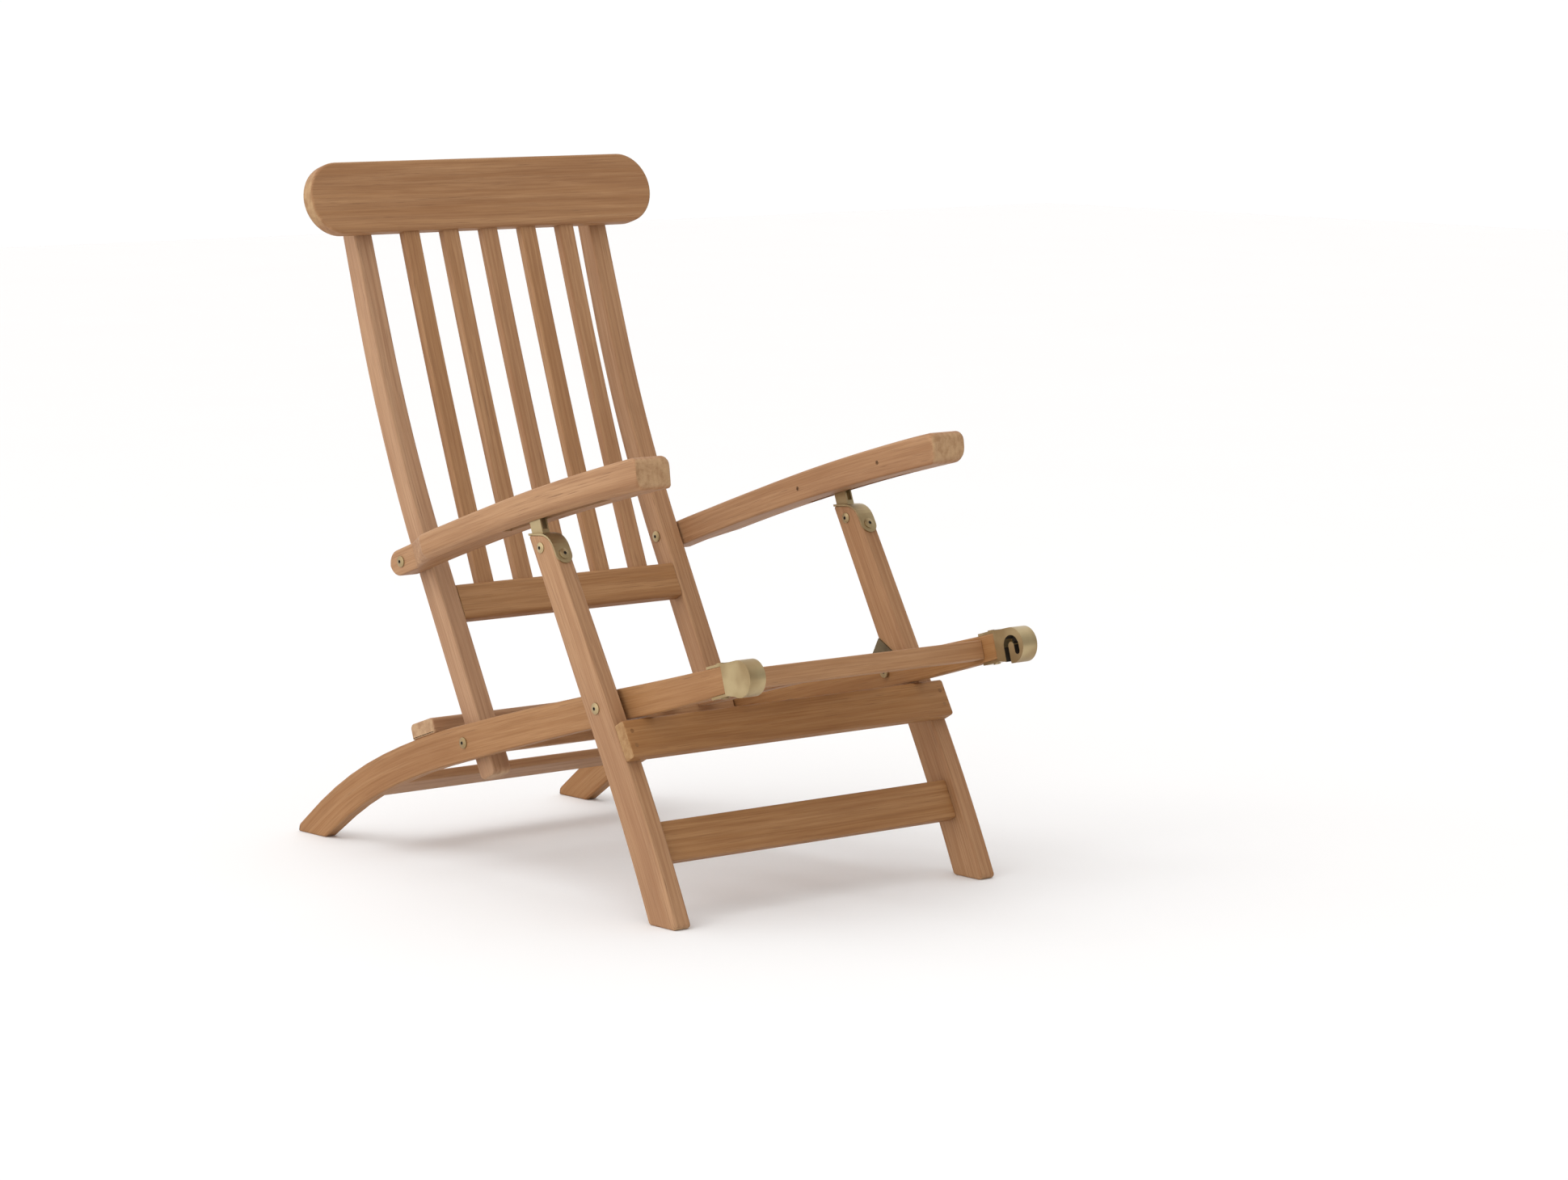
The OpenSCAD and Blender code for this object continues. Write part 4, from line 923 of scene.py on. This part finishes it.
def add_dowel(bm, to_apron):
    tip = bm.verts.new(to_apron @ Vector((0, 0, 0)))
    angles = np.linspace(0, 2 * pi, DOWEL_SEG, endpoint=False)
    rings = [[bm.verts.new(to_apron @ Vector((radius * cos(angle), depth, radius * sin(angle))))
              for angle in angles] for radius, depth in DOWEL_PROFILE]
    for i in range(DOWEL_SEG):
        bm.faces.new((tip, rings[0][i], rings[0][(i + 1) % DOWEL_SEG]))
    for a, b in zip(rings, rings[1:]):
        for i in range(DOWEL_SEG):
            bm.faces.new((a[i], b[i], b[(i + 1) % DOWEL_SEG], a[(i + 1) % DOWEL_SEG]))
    bm.faces.new(rings[-1])


def apron_dowels():
    """Two dowel ends on each side of the apron, in one piece."""
    bm = bmesh.new()
    for x in (-1, 1):
        for up in (-1, 1):
            shift = (x * (LEG_OUT - DOWEL_INSET), -APRON_N - APRON_T - DOWEL_PROUD,
                     APRON_MIDDLE + up * APRON_H / DOWEL_SPREAD)
            add_dowel(bm, place(LEG_PIVOT, -LEG_LEAN, shift))
    board("dowels", bm, "apron_dowels", 0.0, material=DOWEL)


seat_front_rail()
seat_rear_rail()
back_stop_rail()
rear_stretcher()
front_apron()
lower_stretcher()
back_bottom_rail()
headrest()
apron_dowels()

# Brass: the CAD shapes with their own finish, with dark painted shade inside the hex holes and the hook slots
# Radius of the painted shade in each hex hole, in millimetres
HEX_R = 2.6
LUG_BOLT = leg_point(241, -3.3)
CAP_SCREW = leg_point(219, 0)
CAP_SCREW_AXIS = (0.0, *(float(v) for v in direction(180 - LEG_LEAN)))
AGED = ("rack_", "lug_pins", "leg_pivot_plate")


def bolt(name, point, axis=(1.0, 0.0, 0.0), x=0.0):
    """Brass with painted shade, dark in the hex hole of a bolt."""
    def shadow(t, where):
        return near_axis(t, where, (x, *point), axis, HEX_R)
    return brass(name, BRASS_LIGHT, BRASS_SHADE, shadow=shadow)


def socket():
    """Brass with painted shade, dark in the hook slot of a footrest socket."""
    openings = frame["record"]["physics"]["openings"]
    boxes = [opening["box_m"] for opening in openings if "left" in opening["name"]]
    low, high = (x / 1000 for x in x_range("footrest_socket_left"))

    def shadow(t, where):
        return in_slot(t, where, boxes, low + SLOT_INNER, high - SLOT_OUTER)
    return brass("socket_cast", BRASS_LIGHT, BRASS_SHADE, shadow=shadow)


# Materials with painted shade in their holes and slots, by CAD node
PAINTED_HOLE_SHADE = {"leg_pivot_bolts": bolt("bolt_leg", LEG_PIVOT), "back_pivot_bolts": bolt("bolt_back", BACK_PIVOT),
         "arm_pivot_bolt_left": bolt("bolt_arm", ARM_PIVOT), "lug_bolts": bolt("bolt_lug", LUG_BOLT),
         "cap_screws": bolt("bolt_cap", CAP_SCREW, CAP_SCREW_AXIS, LUG_X), "footrest_socket_left": socket()}
for name in ("arm_pivot_bolt_", "footrest_socket_"):
    PAINTED_HOLE_SHADE[name + "right"] = PAINTED_HOLE_SHADE[name + "left"]

for name, ob in frame["nodes"].items():
    if ob.hide_render:
        continue
    ob.data.materials.clear()
    ob.data.materials.append(PAINTED_HOLE_SHADE.get(name, BRASS_DARK if name.startswith(AGED) else BRASS))
    for face in ob.data.polygons:
        face.material_index = 0

# Floor, light and camera
FLOOR_HALF = 14
PAINT = ((0.815, 0.807, 0.804, 1), (0.825, 0.817, 0.814, 1))
SKY_COLOUR = (1.0, 0.995, 0.99, 1.0)
SKY_SIDE = (-0.72, -0.12, 0.68)
SKY_FORE = (0.30, -0.95, 0.05)
SKY_STRENGTH, SKY_MORE, SKY_LESS = 1.02, 0.60, 0.56
KEY_PLACE, KEY_TARGET = (-3.0, 0.4, 3.6), (0, 0, 0.4)
KEY_SIZE, KEY_POWER, KEY_COLOUR = 1.6, 20, (0.96, 0.98, 1.0)
FOCAL_PX, PHOTO_W, SENSOR_W = 5775, 1940, 36
CAMERA_X, CAMERA_BEFORE_PIVOT, CAMERA_Z = -4.1257, -4.9481, 1.2658
CAMERA_PITCH, CAMERA_YAW = 82.51, -40.12


def painted_floor():
    bm = bmesh.new()
    corners = ((-1, -1), (1, -1), (1, 1), (-1, 1))
    bm.faces.new([bm.verts.new((x * FLOOR_HALF, y * FLOOR_HALF, 0)) for x, y in corners])
    floor = as_object("floor", bm)
    t, bsdf = new_material("floor_paint")
    t.put(bsdf.inputs["Base Color"], t.mix(t.noise(t.coordinate("Object"), 2.0), *PAINT))
    bsdf.inputs["Roughness"].default_value = 0.9
    bsdf.inputs["Specular IOR Level"].default_value = 0.1
    floor.data.materials.append(t.owner)


def studio_sky():
    """A white surround, stronger above on the chair's right and weaker in front of it."""
    world = bpy.data.worlds.new("studio")
    bpy.context.scene.world = world
    world.use_nodes = True
    sky = Tree(world)
    background = sky.nodes["Background"]
    where = sky.coordinate("Generated")
    lit = sky.ramp(sky.vmath("DOT_PRODUCT", where, Vector(SKY_SIDE).normalized()), -0.2, 1.0)
    dim = sky.ramp(sky.vmath("DOT_PRODUCT", where, Vector(SKY_FORE).normalized()), 0.0, 0.9)
    strong = sky.math("MULTIPLY_ADD", lit, SKY_MORE, SKY_STRENGTH)
    strength = sky.math("SUBTRACT", strong, sky.math("MULTIPLY", dim, SKY_LESS))
    sky.put(background.inputs["Strength"], strength)
    background.inputs["Color"].default_value = SKY_COLOUR


def key_light():
    data = bpy.data.lights.new("key", "AREA")
    data.shape, data.size, data.energy, data.color = "SQUARE", KEY_SIZE, KEY_POWER, KEY_COLOUR
    key = bpy.data.objects.new("key", data)
    bpy.context.scene.collection.objects.link(key)
    key.location = KEY_PLACE
    key.rotation_euler = (Vector(KEY_TARGET) - Vector(KEY_PLACE)).to_track_quat("-Z", "Y").to_euler()


def photo_camera():
    """The camera of the photo, solved from points on both sides of the chair."""
    data = bpy.data.cameras.new("camera")
    data.sensor_fit = "HORIZONTAL"
    data.sensor_width = SENSOR_W
    data.lens = FOCAL_PX / PHOTO_W * SENSOR_W
    camera = bpy.data.objects.new("camera", data)
    bpy.context.scene.collection.objects.link(camera)
    camera.location = (CAMERA_X, CAMERA_BEFORE_PIVOT + LEG_PIVOT[0] / 1000, CAMERA_Z)
    camera.rotation_euler = (radians(CAMERA_PITCH), 0, radians(CAMERA_YAW))
    bpy.context.scene.camera = camera


painted_floor()
studio_sky()
key_light()
photo_camera()
bpy.context.scene.view_settings.view_transform = "Standard"
bpy.context.scene.view_settings.look = "None"
